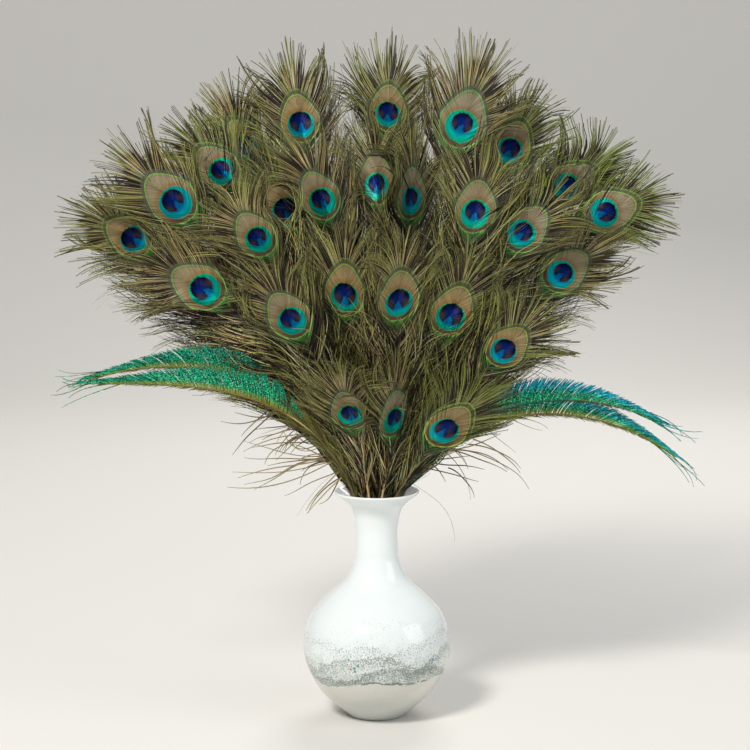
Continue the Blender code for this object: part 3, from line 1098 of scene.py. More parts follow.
# %% [markdown]
# ## The barbs round the eye
#
# Round the eye the barbs leave the rachis in an even fan that closes over its end. They bend less and less
# towards the top, where they run nearly straight ahead. Every second barb lies a little higher than the
# ones beside it, which keeps their overlaps from flickering.

# %% Lines of the barbs round the eye
PLATE_BARBS = 132  # on each side
PLATE_LOCK = 3.6  # barbs
PLATE_STEPS = 14
PLATE_PLACES = (-40, -10, 5, 15, 24)  # mm from the middle of the eye, where the angles below hold


def plate_lines(rachis, eye_at, size, side, hugging, fringe, name, rng):
    """Where the close barbs on one side lie, with their roots and the middle barbs of their locks."""
    even = np.linspace(0, 1, PLATE_BARBS)
    root = PLATE_START + (RACHIS_PAST_EYE - PLATE_START) * (1 - (1 - even) ** 1.6)
    lock, middle = in_locks(PLATE_BARBS, PLATE_LOCK, rng)
    of_lock = rng.normal(0, 1, (lock[-1] + 1, 4))[lock]
    below = ease(-20, -40, root)
    leaving = np.interp(root, PLATE_PLACES, (46 - 10 * hugging, 50, 43, 30, 2))
    leaving = leaving + below * rng.normal(0, 5, PLATE_BARBS)
    arriving = np.interp(root, PLATE_PLACES, (24 - 12 * hugging, 33, 34, 26, 0))
    arriving = arriving - 6 * below * of_lock[:, 3] + 7 * flow(PLATE_BARBS, 7, rng) * ease(24, 10, root)
    length = np.interp(root, (-40, 0, 24), (90, 84, 66)) * size * fringe
    length = length * (1.04 + 0.06 * flow(PLATE_BARBS, 12, rng) + 0.03 * of_lock[:, 0])
    length = length * (1 - 0.36 * rng.random(PLATE_BARBS) ** 2)
    calm = 1 - 0.85 * ease(6, 24, root)
    curl = calm * (34 * flow(PLATE_BARBS, 6, rng) + 4 * of_lock[:, 1] + rng.normal(0, 4, PLATE_BARBS))
    share = np.linspace(0, 1, PLATE_STEPS + 1)
    depth = np.minimum(5 * of_lock[:, 2] + rng.normal(0, 3, PLATE_BARBS), 3)
    groove = 0.14 * np.where(np.arange(PLATE_BARBS) % 2 == 0, 1, -1)
    lift = depth[:, None] * ease(0.35, 1, share) + groove[:, None] + 1.6 * np.sin(share * math.pi)
    sway = calm * (14 * flow(PLATE_BARBS, 6, rng) + 2 * of_lock[:, 3] + rng.normal(0, 2.5, PLATE_BARBS))
    root = eye_at + root * size
    line = barb_lines(rachis, root, side, length, leaving, arriving, curl, lift, PLATE_STEPS, sway)
    pull = 0.5 * (ease(0.3, 1, share) ** 1.5)[:, None]
    return combed_aside(line + (line[middle] - line) * pull, middle, name, rng), root, middle


print("close barbs round each eye:", 2 * PLATE_BARBS)

# %% [markdown]
# Inside the egg each barb is made as wide as the gap to its neighbour, so the plate is closed and the
# drawing on it is whole. Outside the egg the barbs narrow to hairs and part.

# %% Barbs round the eye
def in_egg(line, rachis, eye_at, size):
    """How far out a point lies, where 1 is the egg's outline: as in the finish, but for the taper."""
    eye, ahead, side, _ = rachis.at(np.array(eye_at))
    seen = (line - eye) / size
    along, across = seen @ ahead - EGG_MIDDLE, seen @ side
    return np.hypot(across / EGG_HALF_WIDTH, along / np.where(along > 0, EGG_AHEAD, EGG_BEHIND))


def plate_barbs(rachis, eye_at, size, side, hugging, fringe, name, rng):
    """The close barbs around the eye on one side, and every second one again as their wider backing."""
    line, root, middle = plate_lines(rachis, eye_at, size, side, hugging, fringe, name, rng)
    share = np.linspace(0, 1, PLATE_STEPS + 1)
    gap = np.linalg.norm(np.cross(np.gradient(line, axis=0), unit(np.gradient(line, axis=1))), axis=-1)
    close = np.clip(1.25 * gap, 0.35, 1.6)
    outside = ease(1.04, 1.18, in_egg(line, rachis, eye_at, size))
    width = close + (rng.uniform(0.32, 0.5, (PLATE_BARBS, 1)) - close) * outside
    width = width * np.interp(share, (0, 0.7, 1), (1, 0.95, 0.25))
    free = ease(0.35, 1, share)
    twist = rng.normal(0, 0.1, PLATE_BARBS)[:, None] + 0.7 * free * rng.normal(0, 1, PLATE_BARBS)[:, None]
    face = rachis.at(root)[3][:, None]
    tone = rng.beta(0.8, 0.8, PLATE_BARBS)
    chance = 0.35 * tone[middle] + 0.65 * tone
    backing = line[::2, ::2] - face[::2] * 0.9
    wide = np.clip(2.6 * gap[::2, ::2], 0.8, 2.4) * np.interp(share[::2], (0, 0.5, 0.7), (1, 1, 0.3))
    return (
        (ribbons(line, width, face, twist), chance),
        (ribbons(backing, wide, face[::2], 0 * wide), chance[::2] * 0.5),
    )


print("barbs in the backing of each eye:", 2 * len(range(0, PLATE_BARBS, 2)))

# %% [markdown]
# ## The whole feather
#
# All kinds of barb and the rod go into one mesh, each kind in its own part of the map for the bake. The rod
# is set back behind the plate, so that the drawing of the eye isn't cut in two.

# %% Growing the eyed feathers
PLATE_BOX = (0.0, 0.0, 1.0, 0.56)
LOOSE_BOX = (0.0, 0.57, 1.0, 0.9)
BACK_BOX = (0.0, 0.91, 0.6, 0.99)
ROD_BOX = (0.62, 0.91, 1.0, 0.99)


def both_sides(pair, kind, box, columns):
    """The strips of the left and of the right side together."""
    corners, chance = (np.concatenate(parts) for parts in zip(*pair))
    return Strips(corners, chance, kind, box, columns)


def grow_eyed_feather(name, row, size, seed):
    rng = np.random.default_rng(seed)
    rachis = rachises[name]
    eye_at = rachis.length - RACHIS_PAST_EYE
    eye, ahead, side, _ = rachis.at(np.array(eye_at))
    hugging, fringe = HUGGING[row], FRINGE.get(name, 1)
    bare = BARE_IN_FRONT.get(name, BARE)
    spacing = LOOSE_SPACING * OPENNESS.get(name, 1)
    loose = [
        loose_barbs(rachis, bare, eye_at, size, way, spacing, back, hugging, rng)
        for way, back in zip((-1, 1), HANG_BACK.get(name, (0, 0)))
    ]
    around = [plate_barbs(rachis, eye_at, size, way, hugging, fringe, name, rng) for way in (-1, 1)]
    plate, backing = zip(*around)
    set_back = 1.6 * ease(eye_at - 60, eye_at - 30, rachis.walked)
    strips = [
        both_sides(loose, 0, LOOSE_BOX, 1),
        both_sides(plate, 1, PLATE_BOX, 1),
        both_sides(backing, 0, BACK_BOX, 2),
        rachis_tube(rachis, 0.6 * RACHIS_RADIUS, ROD_BOX, set_back, float(name in QUILLS_WITHOUT_PAINTED_SHADE)),
    ]
    habit = rng.uniform(0, 1, 3)
    habit[2] = YELLOWNESS.get(name, habit[2] * 0.5)
    thing = feather_mesh(f"feather_{name}", strips, (eye, ahead, side, size), habit, (eyed_vane, rachis_rod))
    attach(thing, "root")
    return thing


for row, feathers in EYE_FEATHERS.items():
    for number, feather in enumerate(feathers, 1):
        size, seed = feather[5], 100 * ROW_PLACE[row] + 500 + number
        piece = grow_eyed_feather(f"{row}_{number}", row, size, seed)
        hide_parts(f"eye_feather_{row}_{number}")
    print(row, "row:", len(feathers), "feathers, the last of", len(piece.data.polygons) * 2, "triangles")

# %% [markdown]
# ## The green sword feathers
#
# At each side two feathers without an eye arch over, curved like a sabre. Nearly all their barbs stand on
# the upper side. These barbs carry broad barbules, so each one is a wider strip, and its finish is mottled
# with dark flecks where the light falls between the barbules.
#
# Of the three numbers of their habit, the first says how blue the tips are and the second whether the
# under side shows. The third isn't used.

# %% Finishes of a sword feather
def sword_finish():
    """Green with flecks, bluer towards the tip, pale where the barb leaves the quill, or else brown."""
    sword = Finish("sword_vane")
    share = sword.stored("place")[2]
    chance, over, kind = sword.stored("tone")
    blueness = sword.stored("habit")[0]
    fleck = sword.streaks(share * 24, chance * 210, Scale=1.0, Detail=2.0)
    green = sword.ramp(
        fleck * 3.4 - 1.2,
        (0.0, paint(0, 30, 36)),
        (0.3, paint(0, 84, 80)),
        (0.5, paint(0, 160, 118)),
        (0.7, paint(0, 206, 136)),
        (1.0, paint(96, 240, 170)),
    )
    blue = sword.mix(sword.ease(0.35, 0.6, fleck), paint(0, 78, 142), paint(0, 214, 226))
    colour = sword.mix(sword.ease(0.22, 0.8, share) * blueness, green, blue)
    hidden = sword.stored("habit")[1]
    colour = sword.mix(sword.ease(0.3, 0.06, share) * (1 - hidden), colour, paint(142, 158, 62))
    brown = sword.mix(chance, paint(84, 70, 38), paint(140, 142, 70))
    brown = sword.mix(hidden * 0.9, brown, paint(0, 96, 76))
    colour = sword.mix(sword.ease(0.5, 0.9, kind), colour, brown)
    rounded = 1 - (over * 2 - 1) ** 2
    round_barb = sword.node("ShaderNodeBump", {}, Strength=0.6, Distance=0.0006, Height=rounded)
    return sword.set(Base_Color=colour, Roughness=0.38, Metallic=0.3, Normal=round_barb)


def sword_rod_finish():
    """Painted shade in the vase, pale horn up to the green vane, and olive from there to the tip."""
    rod = Finish("sword_rod")
    share = rod.stored("place")[2]
    mottle = rod.noise(rod.node("ShaderNodeTexCoord", {}, output="Object"), Scale=70.0)
    horn = rod.ramp(
        share + (mottle - 0.5) * 0.06,
        (0.0, paint(226, 212, 178)),
        (0.42, paint(206, 178, 122)),
        (0.47, paint(118, 96, 54)),
        (0.6, paint(126, 112, 54)),
        (1.0, paint(92, 118, 40)),
    )
    # painted shade on the quill where it stands in the vase
    horn = rod.mix(rod.ease(0.44, 0.36, share) * 0.85, horn, paint(74, 60, 36))
    under_green = rod.ease(0.78, 0.7, share) * rod.stored("habit")[1]
    return rod.set(Base_Color=rod.mix(under_green, horn, paint(14, 92, 66)), Roughness=0.34)


sword_vane = sword_finish()
sword_rod = sword_rod_finish()
print("nodes in the sword's finish:", len(sword_vane.node_tree.nodes))

# %% [markdown]
# Four kinds of barb grow on a sword feather: the tall ones of the upper side, short ones below, a few long
# ones that make the split tip, and loose brown down low on the rachis.

# %% The tall barbs of a sword feather
SWORD_BARB = 30  # mm
SWORD_START = 0.37  # the share of the rachis that is below the green vane
SWORD_BARBS = 420
SWORD_LOCK = 9  # barbs
SWORD_STEPS = 9


def flat_ribbons(rachis, root, line, widths, twist):
    """Ribbons in the plane of the vane, each turned by its own twist, of these widths at even steps."""
    share = np.linspace(0, 1, line.shape[1])
    width = np.interp(share, np.linspace(0, 1, len(widths)), widths) + np.zeros((len(line), 1))
    return ribbons(line, width, rachis.at(root)[3][:, None], twist[:, None] + 0 * share)


def sword_barbs(rachis, side, rng):
    """The tall barbs: tufts with gaps near the quill, then a closed vane, then shorter to the tip."""
    even = np.linspace(0, 1, SWORD_BARBS)
    along = SWORD_START + (0.995 - SWORD_START) * even + rng.normal(0, 0.001, SWORD_BARBS)
    length = SWORD_BARB * (0.5 + 0.5 * ease(SWORD_START, 0.48, along)) * (1 - 0.6 * ease(0.6, 1.0, along))
    _, middle = in_locks(SWORD_BARBS, SWORD_LOCK, rng)
    ragged = ease(0.56, 0.4, along)
    length = length * rng.normal(1, 0.025, SWORD_BARBS)
    length = length * (1 + 0.14 * ragged * rng.normal(0, 1, SWORD_BARBS)[middle])
    leaving = np.interp(along, (0.25, 0.6, 1), (80, 72, 34)) + rng.normal(0, 3, SWORD_BARBS)
    arriving = np.interp(along, (0.25, 0.6, 1), (68, 54, 8)) + rng.normal(0, 4, SWORD_BARBS)
    share = np.linspace(0, 1, SWORD_STEPS + 1)
    lift = rng.normal(0, 2, SWORD_BARBS)[:, None] * share + rng.normal(0, 0.6, SWORD_BARBS)[:, None]
    root = along * rachis.length
    line = barb_lines(rachis, root, side, length, leaving, arriving, 0 * root, lift, SWORD_STEPS)
    gathered = drawn_together(line, middle, 0.85)
    line = line + (gathered - line) * (0.06 + 0.84 * ragged[:, None, None])
    breadth = rng.uniform(0.8, 1.15, SWORD_BARBS)[:, None]
    width = np.interp(share, (0, 0.15, 0.7, 1), (0.5, 1.35, 1.25, 0.4)) * breadth
    twist = rng.normal(0, 0.45, SWORD_BARBS)[:, None] + 0 * share
    return ribbons(line, width, rachis.at(root)[3][:, None], twist), even


print("tall barbs on a sword feather:", SWORD_BARBS)

# %% [markdown]
# The other three kinds are thinner and need no vane that closes. Each has its own angles and lengths, and
# they all become ribbons in the same way.

# %% The other barbs of a sword feather
SWORD_UNDER_BARBS = 280
WISPS = 0.012  # the share of the under barbs that are long and stray
SWORD_DOWN_BARBS = 110
SWORD_TIP_BARBS = 7
SWORD_TIP = 42  # mm that the longest barbs of the tip may go on past the rachis


def sword_under_barbs(rachis, side, rng):
    """Short thin barbs on the lower side, and a few long wisps among them."""
    count = SWORD_UNDER_BARBS
    along = np.linspace(0.22, 0.98, count)
    wisp = rng.random(count) < WISPS
    length = np.where(wisp, rng.uniform(30, 75, count), rng.uniform(5, 12, count) * ease(1.1, 0.7, along))
    leaving = rng.normal(26, 6, count)
    arriving = np.where(wisp, rng.normal(14, 10, count), rng.normal(8, 6, count))
    share = np.linspace(0, 1, SWORD_STEPS + 1)
    lift = rng.normal(0, 3, count)[:, None] * share * (length / 40)[:, None]
    root = along * rachis.length
    curl = np.where(wisp, rng.normal(10, 25, count), 0)
    line = barb_lines(rachis, root, side, length, leaving, arriving, curl, lift, SWORD_STEPS)
    strips = flat_ribbons(rachis, root, line, (0.8, 0.3), rng.normal(0, 0.5, count))
    return strips, rng.uniform(0, 1, count)


def sword_down(rachis, side, longest, rng):
    """Loose brown barbs low on the rachis, below the green vane."""
    count = SWORD_DOWN_BARBS
    root = np.linspace(14, SWORD_START * rachis.length, count) + rng.normal(0, 0.6, count)
    _, middle = in_locks(count, 4, rng)
    length = rng.uniform(0.5 * longest, longest, count)
    share = np.linspace(0, 1, SWORD_STEPS + 1)
    lift = rng.normal(0, 5, (count, 1)) * share
    leaving = rng.normal(20, 6, count)
    arriving = rng.normal(12, 8, count)
    curl = rng.normal(0, 16, count)
    line = barb_lines(rachis, root, side, length, leaving, arriving, curl, lift, SWORD_STEPS)
    line = held_by_the_mouth(drawn_together(line, middle, 0.5), rng)
    strips = flat_ribbons(rachis, root, line, (1.0, 0.8, 0.3), rng.normal(0, 0.6, count))
    return strips, rng.beta(0.8, 1.0, count)


def sword_tip(rachis, rng):
    """The split end: long thin barbs that go on past the rachis, to the left and the right in turn."""
    count = SWORD_TIP_BARBS
    root = rachis.length * rng.uniform(0.88, 0.995, count)
    side = np.where(np.arange(count) % 2 == 0, 1, -1)[:, None]
    length = (rachis.length - root) + SWORD_TIP * rng.uniform(0.45, 1.0, count)
    share = np.linspace(0, 1, SWORD_STEPS + 1)
    lift = rng.normal(0, 4, count)[:, None] * share
    leaving = rng.normal(10, 4, count)
    arriving = rng.normal(2, 4, count)
    curl = rng.normal(0, 30, count)
    line = barb_lines(rachis, root, side, length, leaving, arriving, curl, lift, SWORD_STEPS)
    strips = flat_ribbons(rachis, root, line, (1.5, 0.5), rng.normal(0, 0.6, count))
    return strips, rng.uniform(0, 0.6, count)


print("barbs below:", SWORD_UNDER_BARBS, "low down:", 2 * SWORD_DOWN_BARBS, "at the tip:", SWORD_TIP_BARBS)

# %% [markdown]
# One of the four is turned so that the under side of its vane shows. There the short barbs and the rachis
# are green as well.

# %% Growing the sword feathers
SWORD_ROD_TIP_RADIUS = 0.4
BLUENESS = {"left_low": 0.1, "left_high": 0.15, "right_high": 1.0, "right_low": 0.8}
UNDER_SIDE_SHOWS = "sword_right_high"


def grow_sword_feather(name, row, seat, lean, *handles, blueness, seed):
    rng = np.random.default_rng(seed)
    start = (seat * SEAT_SPACING, HINGE_HEIGHT)
    rachis = Rachis(bezier((start, *handles), np.linspace(0, 1, 60)), row, lean, 0)
    up = 1 if seat < 0 else -1
    end, ahead, side, _ = rachis.at(np.array(rachis.length))
    strips = [
        Strips(*sword_barbs(rachis, up, rng), 0, (0, 0, 1, 0.6), 2),
        Strips(*sword_under_barbs(rachis, -up, rng), 1, (0, 0.61, 1, 0.8), 2),
        Strips(*sword_tip(rachis, rng), 0.7, (0, 0.81, 1, 0.84), 1),
        Strips(*sword_down(rachis, up, 70, rng), 1, (0, 0.85, 0.5, 0.9), 2),
        Strips(*sword_down(rachis, -up, 44, rng), 1, (0.5, 0.85, 1, 0.9), 2),
        rachis_tube(rachis, SWORD_ROD_TIP_RADIUS, (0, 0.91, 1, 0.99)),
    ]
    habit = (blueness, float(name == UNDER_SIDE_SHOWS), 0)
    thing = feather_mesh(name, strips, (end, ahead, side, 1), habit, (sword_vane, sword_rod))
    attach(thing, "root")
    return thing


for number, (key, feather) in enumerate(SWORD_FEATHERS.items()):
    piece = grow_sword_feather(f"sword_{key}", *feather, blueness=BLUENESS[key], seed=31 + number)
    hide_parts(f"sword_feather_{key}")
    print(piece.name, len(piece.data.polygons) * 2, "triangles")

# %% [markdown]
# ## The vase
#
# A vase is thrown on a wheel, so it is one outline carried round an axis: down the outside, round the
# foot ring, and up the inside to the rounded lip. Here the outline is worked out as points and turned with
# sine and cosine, so that every ring has its own place in the array.

# %% The outline of the vase
WALL = 2.8
FLOOR_INSIDE = 5
# The turned outline from the rim down to the foot, as (radius, height), as in the solid model.
VASE_OUTLINE = (
    (44, 238),
    (28, 224),
    (22.4, 206),
    (21.7, 186),
    (23.8, 167),
    (33.2, 146),
    (55.8, 124),
    (70.2, 106),
    (77.9, 79),
    (73.1, 53),
    (58.3, 26),
    (30, 0),
)
POINTS_PER_SPAN = 9


def smooth_through(points, per_span):
    """A Catmull-Rom curve: a cubic in each span, whose slope at a point is half the step between its
    neighbours."""
    points = np.array(points, float)
    run = np.vstack([2 * points[0] - points[1], points, 2 * points[-1] - points[-2]])
    a, b, c, d = run[:-3, None], run[1:-2, None], run[2:-1, None], run[3:, None]
    t = (np.arange(per_span) / per_span)[:, None]
    curve = b + 0.5 * t * (c - a)
    curve = curve + t**2 * (a - 2.5 * b + 2 * c - 0.5 * d) + t**3 * (1.5 * (b - c) + 0.5 * (d - a))
    return np.vstack([curve.reshape(-1, 2), points[-1:]])


def wall_inside(outer):
    """The outline moved inwards by the wall, square to itself, from the floor up to the rim."""
    along = unit(np.gradient(outer, axis=0))
    inwards = np.stack([along[:, 1], -along[:, 0]], axis=1)
    inner = (outer + inwards * WALL)[::-1]
    return inner[inner[:, 1] > FLOOR_INSIDE]


outside = smooth_through(VASE_OUTLINE, POINTS_PER_SPAN)
inside = wall_inside(outside)
print("outline points:", len(outside), "outside and", len(inside), "inside")

# %% [markdown]
# The lip is a half circle between the two outlines, and the foot stands on a ring with a shallow recess
# inside it. Put one after the other, the pieces make one line from the middle of the foot to the middle
# of the floor inside.

# %% Turning the vase
TURNED_STEPS = 112
LIP_STEPS = 7
MIDDLE_RADIUS = 0.01  # mm: hardly more than a point, so that the surface closes at the axis
FOOT_RECESS = ((MIDDLE_RADIUS, 2.2), (20, 2.2), (23.5, 1.9), (25.2, 0.6), (26.4, 0.0))


def rounded_lip(outer, inner):
    """A half circle from the inner edge of the lip over its top to the outer edge."""
    middle, half = (outer + inner) / 2, (outer - inner) / 2
    over = np.array([-half[1], half[0]])
    if over[1] < 0:
        over = -over
    turn = np.linspace(math.pi, 0, LIP_STEPS)[1:-1, None]
    return middle + half * np.cos(turn) + over * np.sin(turn)


def turned(name, outline, steps):
    """The outline of (radius, height) carried round the z axis, as one grid [turn, point].

    Its map for the bake has the turn from left to right and the way along the outline upwards.
    """
    turn = np.linspace(0, 2 * math.pi, steps, endpoint=False)[:, None]
    radius, height = outline.T
    points = np.stack([radius * np.sin(turn), radius * np.cos(turn), height + 0 * turn], axis=-1)
    thing = grid_mesh(name, points * MM, closed=True)
    walked = np.concatenate([[0], np.cumsum(np.linalg.norm(np.diff(outline, axis=0), axis=1))])
    faces = np.arange(steps * (len(outline) - 1))
    around, span = np.divmod(faces, len(outline) - 1)
    u = np.stack([around, around + 1, around + 1, around], axis=1) / steps
    v = (walked / walked[-1])[np.stack([span, span, span + 1, span + 1], axis=1)]
    corners = 0.01 + 0.98 * np.stack([u, v], axis=-1)
    thing.data.uv_layers.new(name="OFBake").data.foreach_set("uv", corners.ravel())
    return thing


lip = rounded_lip(outside[0], inside[-1])
middle_inside = [(MIDDLE_RADIUS, FLOOR_INSIDE)]
whole_outline = np.vstack([FOOT_RECESS, outside[::-1], lip[::-1], inside[::-1], middle_inside])
vase = turned("porcelain_vase", whole_outline, TURNED_STEPS)
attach(vase, "root")
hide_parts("vase")
print("vase:", len(vase.data.polygons), "faces,", [round(v * 1000, 1) for v in vase.dimensions], "mm")

# %% [markdown]
# ## The glaze and its painted band
#
# The glaze is a clear glassy white. Low on the belly a band is painted in fine dots: four ranges of round
# hills, each darkest just under its crest, above a shore line and still, grey water. Its grey is partly the
# water of the band and partly painted shade under the belly, deeper towards the foot. The dots are a noise
# pattern cut off at a level, and the level follows how much ink the hills ask for. Going round the vase
# the crests are sums of sine waves of whole numbers of turns, so the picture meets itself at the back.

# %% Hills and dots of the painted band
# Each range: the height of its crest above the shore (mm), two waves as (times round the vase, where they
# start, how high they are in mm), and how dark it is.
HILLS = (
    (13, (3, 0.4, 4.5), (8, 1.0, 2.5), 0.7),
    (27, (4, 2.6, 6.0), (7, 0.2, 3.0), 0.65),
    (44, (3, 4.4, 7.0), (10, 3.0, 2.0), 0.5),
    (60, (2, 1.2, 6.0), (9, 5.0, 2.0), 0.25),
)
SHORE_HEIGHT = 47  # mm above the foot
# Twigs with berries: where they are round the vase (radians from the front) and how high above the shore.
TWIGS = ((-2.3, 22), (-1.2, 26), (-0.28, 17), (0.86, 24), (1.7, 20), (2.7, 27))


class BandMap:
    """Where a point of the glaze lies: its turn round the vase and its mm above the shore."""

    def __init__(self, glaze):
        self.glaze = glaze
        self.spot = glaze.node("ShaderNodeTexCoord", {}, output="Object")
        x, y, height = (part * 1000 for part in glaze.parts("ShaderNodeSeparateXYZ", self.spot))
        self.turn = glaze.node("ShaderNodeMath", {"operation": "ARCTAN2"}, x, -y)
        self.rough = glaze.noise(self.spot, Scale=90.0, Detail=3.0) - 0.5
        shore = self.wave(2, 0.9, 4.5) + self.wave(5, 2.2, 2.0) + self.rough * 7 + SHORE_HEIGHT
        self.above = height - shore
        self.on_land = glaze.ease(0.0, 1.5, self.above)

    def wave(self, times, start, size):
        """size times the sine of (times the turn + start)."""
        return self.glaze.node("ShaderNodeMath", {"operation": "SINE"}, self.turn * times + start) * size


def ink_of_hills(glaze, at):
    """How dark it should be: more towards the shore, and most in a strip under each crest."""
    ink = glaze.ease(56, 12, at.above) * 0.7 + glaze.ease(14, 0, at.above) * 0.3
    for crest, first, second, strength in HILLS:
        under = at.wave(*first) + at.wave(*second) + at.rough * 8 + crest - at.above
        ink = ink + glaze.ease(-1, 2, under) * glaze.ease(17, 1, under) * strength
    return ink


print("ranges of hills:", len(HILLS), "and twigs:", len(TWIGS))

# %% [markdown]
# Dots, haze, water, shore and berries are laid over the white one after the other, each by its own share.

# %% Porcelain finish
def land_and_water(glaze, at, dots, grit):
    """White with haze and dots above the shore; grey below it, as a still lake with a few stones, and
    painted shade under the belly, darker towards the foot.
    """
    mist = glaze.noise(at.spot, Scale=130.0, Detail=5.0)
    haze = glaze.ease(66, 6, at.above) * (glaze.ease(0.35, 0.65, mist) * 0.7 + 0.3) * at.on_land
    # grey below the shore: the band's water, and painted shade under the belly that deepens towards the foot
    water_and_painted_shade = glaze.mix(glaze.ease(-4, -40, at.above), paint(216, 213, 205), paint(196, 200, 194))
    colour = glaze.mix(haze * 0.6, paint(235, 241, 240), paint(190, 202, 194))
    colour = glaze.mix(dots * 0.8, colour, paint(96, 106, 92))
    colour = glaze.mix(glaze.ease(1.0, -1.0, at.above), colour, water_and_painted_shade)
    shore = glaze.ease(1.5, 0.4, abs(at.above)) * glaze.ease(-0.1, 0.15, at.rough + at.wave(3, 1.0, 0.1))
    colour = glaze.mix(shore * 0.85, colour, paint(78, 86, 78))
    stones = glaze.ease(0.0, 0.05, grit - 0.63) * glaze.ease(0.06, 0.14, at.rough)
    return glaze.mix(stones * glaze.ease(-4, -7, at.above) * 0.7, colour, paint(104, 104, 94))


def berries(glaze, at):
    """The share and the colour of berries: round cells near each twig, of which only some are kept."""
    cells = {"feature": "F1"}
    nearest = glaze.node("ShaderNodeTexVoronoi", cells, at.spot, Scale=270.0)
    pick = glaze.node("ShaderNodeTexVoronoi", cells, at.spot, Scale=270.0, output="Color")
    red, green, _ = glaze.parts("ShaderNodeSeparateColor", pick)
    twigs = 0.0
    for where, up in TWIGS:
        twigs = twigs + glaze.ease(8, 6, length_of((at.turn - where) * 70, at.above * 1.6 - up * 1.6))
    share = glaze.ease(0.42, 0.3, nearest) * glaze.ease(0.3, 0.4, red) * twigs
    return share, glaze.mix(glaze.ease(0.6, 0.62, green), paint(64, 128, 158), paint(176, 66, 56))


def porcelain_finish():
    glaze = Finish("porcelain_glaze")
    at = BandMap(glaze)
    ink = ink_of_hills(glaze, at)
    grit = glaze.noise(at.spot, Scale=820.0, Detail=2.0)
    dots = glaze.ease(0.0, 0.22, grit + ink * 0.2 - 0.62) * at.on_land * glaze.ease(80, 60, at.above)
    share, berry_colour = berries(glaze, at)
    colour = glaze.mix(share * 0.85, land_and_water(glaze, at, dots, grit), berry_colour)
    return glaze.set(Base_Color=colour, Roughness=dots * 0.1 + 0.13, Coat_Weight=0.3)


vase.data.materials.append(porcelain_finish())
print("nodes in the glaze:", len(vase.data.materials[0].node_tree.nodes))

# %% [markdown]
# ## Stray barbs
#
# Near the mouth of the vase thin barbs stick out on all sides, curling and sagging. Each is a walk whose
# heading drifts by a few slow waves of chance, while its weight bends it down.

# %% Tufts of barbs that stray from the bunch
# Tufts of them: x and height of the root (mm), heading from the right (degrees), how far the headings
# scatter, how far the barbs bend on their way (degrees), the shortest and longest (mm), and how many.
STRAY_TUFTS = (
    (-104, 323, 206, 9, 6, 42, 58, 4),
    (-80, 312, 190, 12, 40, 30, 50, 5),
    (-72, 308, 196, 14, 22, 52, 74, 4),
    (-60, 298, 180, 14, 70, 40, 60, 4),
    (-56, 292, 196, 16, -110, 42, 56, 4),
    (-46, 280, 186, 7, 8, 84, 114, 4),
    (-44, 276, 204, 7, 4, 88, 120, 3),
    (-40, 272, 176, 12, 50, 34, 60, 6),
    (-34, 262, 214, 14, 12, 50, 76, 4),
    (-30, 254, 206, 2, 70, 52, 56, 1),
    (-30, 258, 226, 6, 4, 52, 64, 1),
    (68, 284, -8, 10, -26, 64, 108, 5),
    (46, 270, -2, 7, -6, 48, 72, 3),
    (34, 258, -12, 1, 66, 48, 54, 1),
    (94, 302, -14, 9, -24, 50, 66, 3),
    (114, 312, -62, 5, 60, 40, 46, 1),
    (28, 252, -30, 1, -20, 92, 96, 1),
)
STRAYS_BEHIND = 14


def stray_roots(rng):
    """One row of the table for each barb, its root in space, and how far it is turned about the z axis.

    The last of them stand singly behind the bunch, on a half circle round the vase's axis.
    """
    table = np.array(STRAY_TUFTS, float)
    angle = rng.uniform(0, math.pi, STRAYS_BEHIND)
    behind = np.zeros((STRAYS_BEHIND, table.shape[1]))
    behind[:, 0] = 70 * np.cos(angle)
    behind[:, 1] = rng.uniform(262, 310, STRAYS_BEHIND)
    behind[:, 2:7] = (0, 12, -20, 40, 80)
    tuft = np.vstack([np.repeat(table, table[:, 7].astype(int), axis=0), behind])
    count = len(tuft)
    start = np.stack([tuft[:, 0], rng.uniform(-14, 12, count), tuft[:, 1]], axis=1)
    start += rng.normal(0, 3, (count, 3))
    turn = rng.normal(0, 12, count)
    start[-STRAYS_BEHIND:, 1] = 30 * np.sin(angle)
    turn[-STRAYS_BEHIND:] = np.degrees(angle)
    return tuft, start, turn[:, None]


print("stray barbs:", sum(tuft[7] for tuft in STRAY_TUFTS), "in tufts and", STRAYS_BEHIND, "behind")

# %% [markdown]
# A walk's heading is its climb above the level and its turn about the upright. Both change slowly on the
# way, and the steps are added up as those of the barbs were.

# %% Walks of the stray barbs
STRAY_STEPS = 22


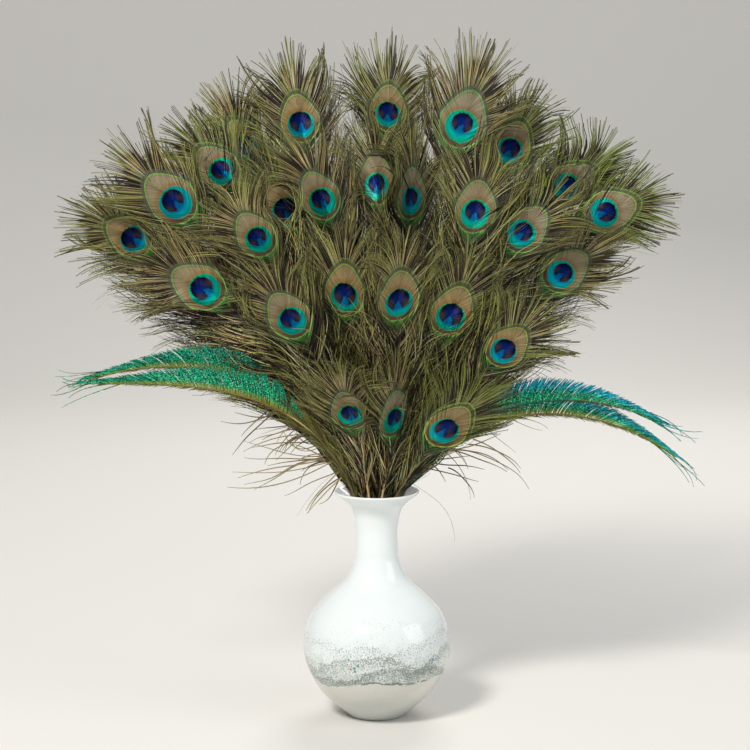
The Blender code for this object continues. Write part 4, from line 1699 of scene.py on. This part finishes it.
def stray_lines(rng):
    """Walks that leave the bunch in tufts at the front, and singly behind it."""
    tuft, start, turn = stray_roots(rng)
    one_each = (len(tuft), 1)
    share = np.linspace(0, 1, STRAY_STEPS + 1)
    climb = (tuft[:, 2] + tuft[:, 3] * rng.normal(0, 1, len(tuft)))[:, None]
    climb = climb + (tuft[:, 4:5] + rng.normal(0, 22, one_each)) * share**1.4
    for waves in (1, 2, 3):
        height = rng.normal(0, 9 / waves, one_each)
        climb = climb + height * np.sin(waves * 3 * share + rng.uniform(0, 6, one_each))
    climb = np.radians(climb)
    turn = np.radians(turn + 14 * share * rng.normal(0, 1, one_each))
    step = rng.uniform(tuft[:, 5], tuft[:, 6])[:, None] / STRAY_STEPS
    walk = np.stack([np.cos(climb) * np.cos(turn), np.cos(climb) * np.sin(turn), np.sin(climb)], axis=-1)
    return start[:, None] + np.cumsum(walk * step[..., None], axis=1)


print("steps in a walk:", STRAY_STEPS)

# %% [markdown]
# They are ribbons like all other barbs, but they turn their flat side to the camera, and nothing about
# their finish depends on an eye.

# %% The stray barbs as one piece
FACING_CAMERA = np.array([0.0, -1.0, 0.0])


def stray_finish():
    """Brown, paler on some barbs, and greener towards the tip."""
    stray = Finish("stray_barb")
    chance = stray.stored("tone")[0]
    share = stray.stored("place")[2]
    brown = stray.mix(chance, paint(74, 58, 36), paint(158, 138, 94))
    colour = stray.mix(stray.ease(0.5, 1.0, share) * 0.6, brown, paint(128, 136, 66))
    return stray.set(Base_Color=colour, Roughness=0.5)


def stray_barbs(line, rng):
    """One object of the ribbons along these lines."""
    count = len(line)
    share = np.linspace(0, 1, STRAY_STEPS + 1)
    width = np.interp(share, (0, 0.6, 1), (1.4, 1.2, 0.5)) + np.zeros((count, 1))
    corners = ribbons(line, width, FACING_CAMERA, rng.normal(0, 0.5, (count, 1)) + 0 * width)
    strips = [Strips(corners, rng.uniform(0, 1, count), 0, (0, 0, 1, 1), 2)]
    upright = (np.zeros(3), np.array([0, 0, 1.0]), np.array([1.0, 0, 0]), 1)
    return feather_mesh("stray_barbs", strips, upright, (0, 0, 0), [stray_finish()])


stray_rng = np.random.default_rng(7)
walks = stray_lines(stray_rng)
strays = stray_barbs(walks, stray_rng)
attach(strays, "root")
print("strays:", len(walks), "and their lowest point", round(walks[..., 2].min()), "mm above the floor")

# %% [markdown]
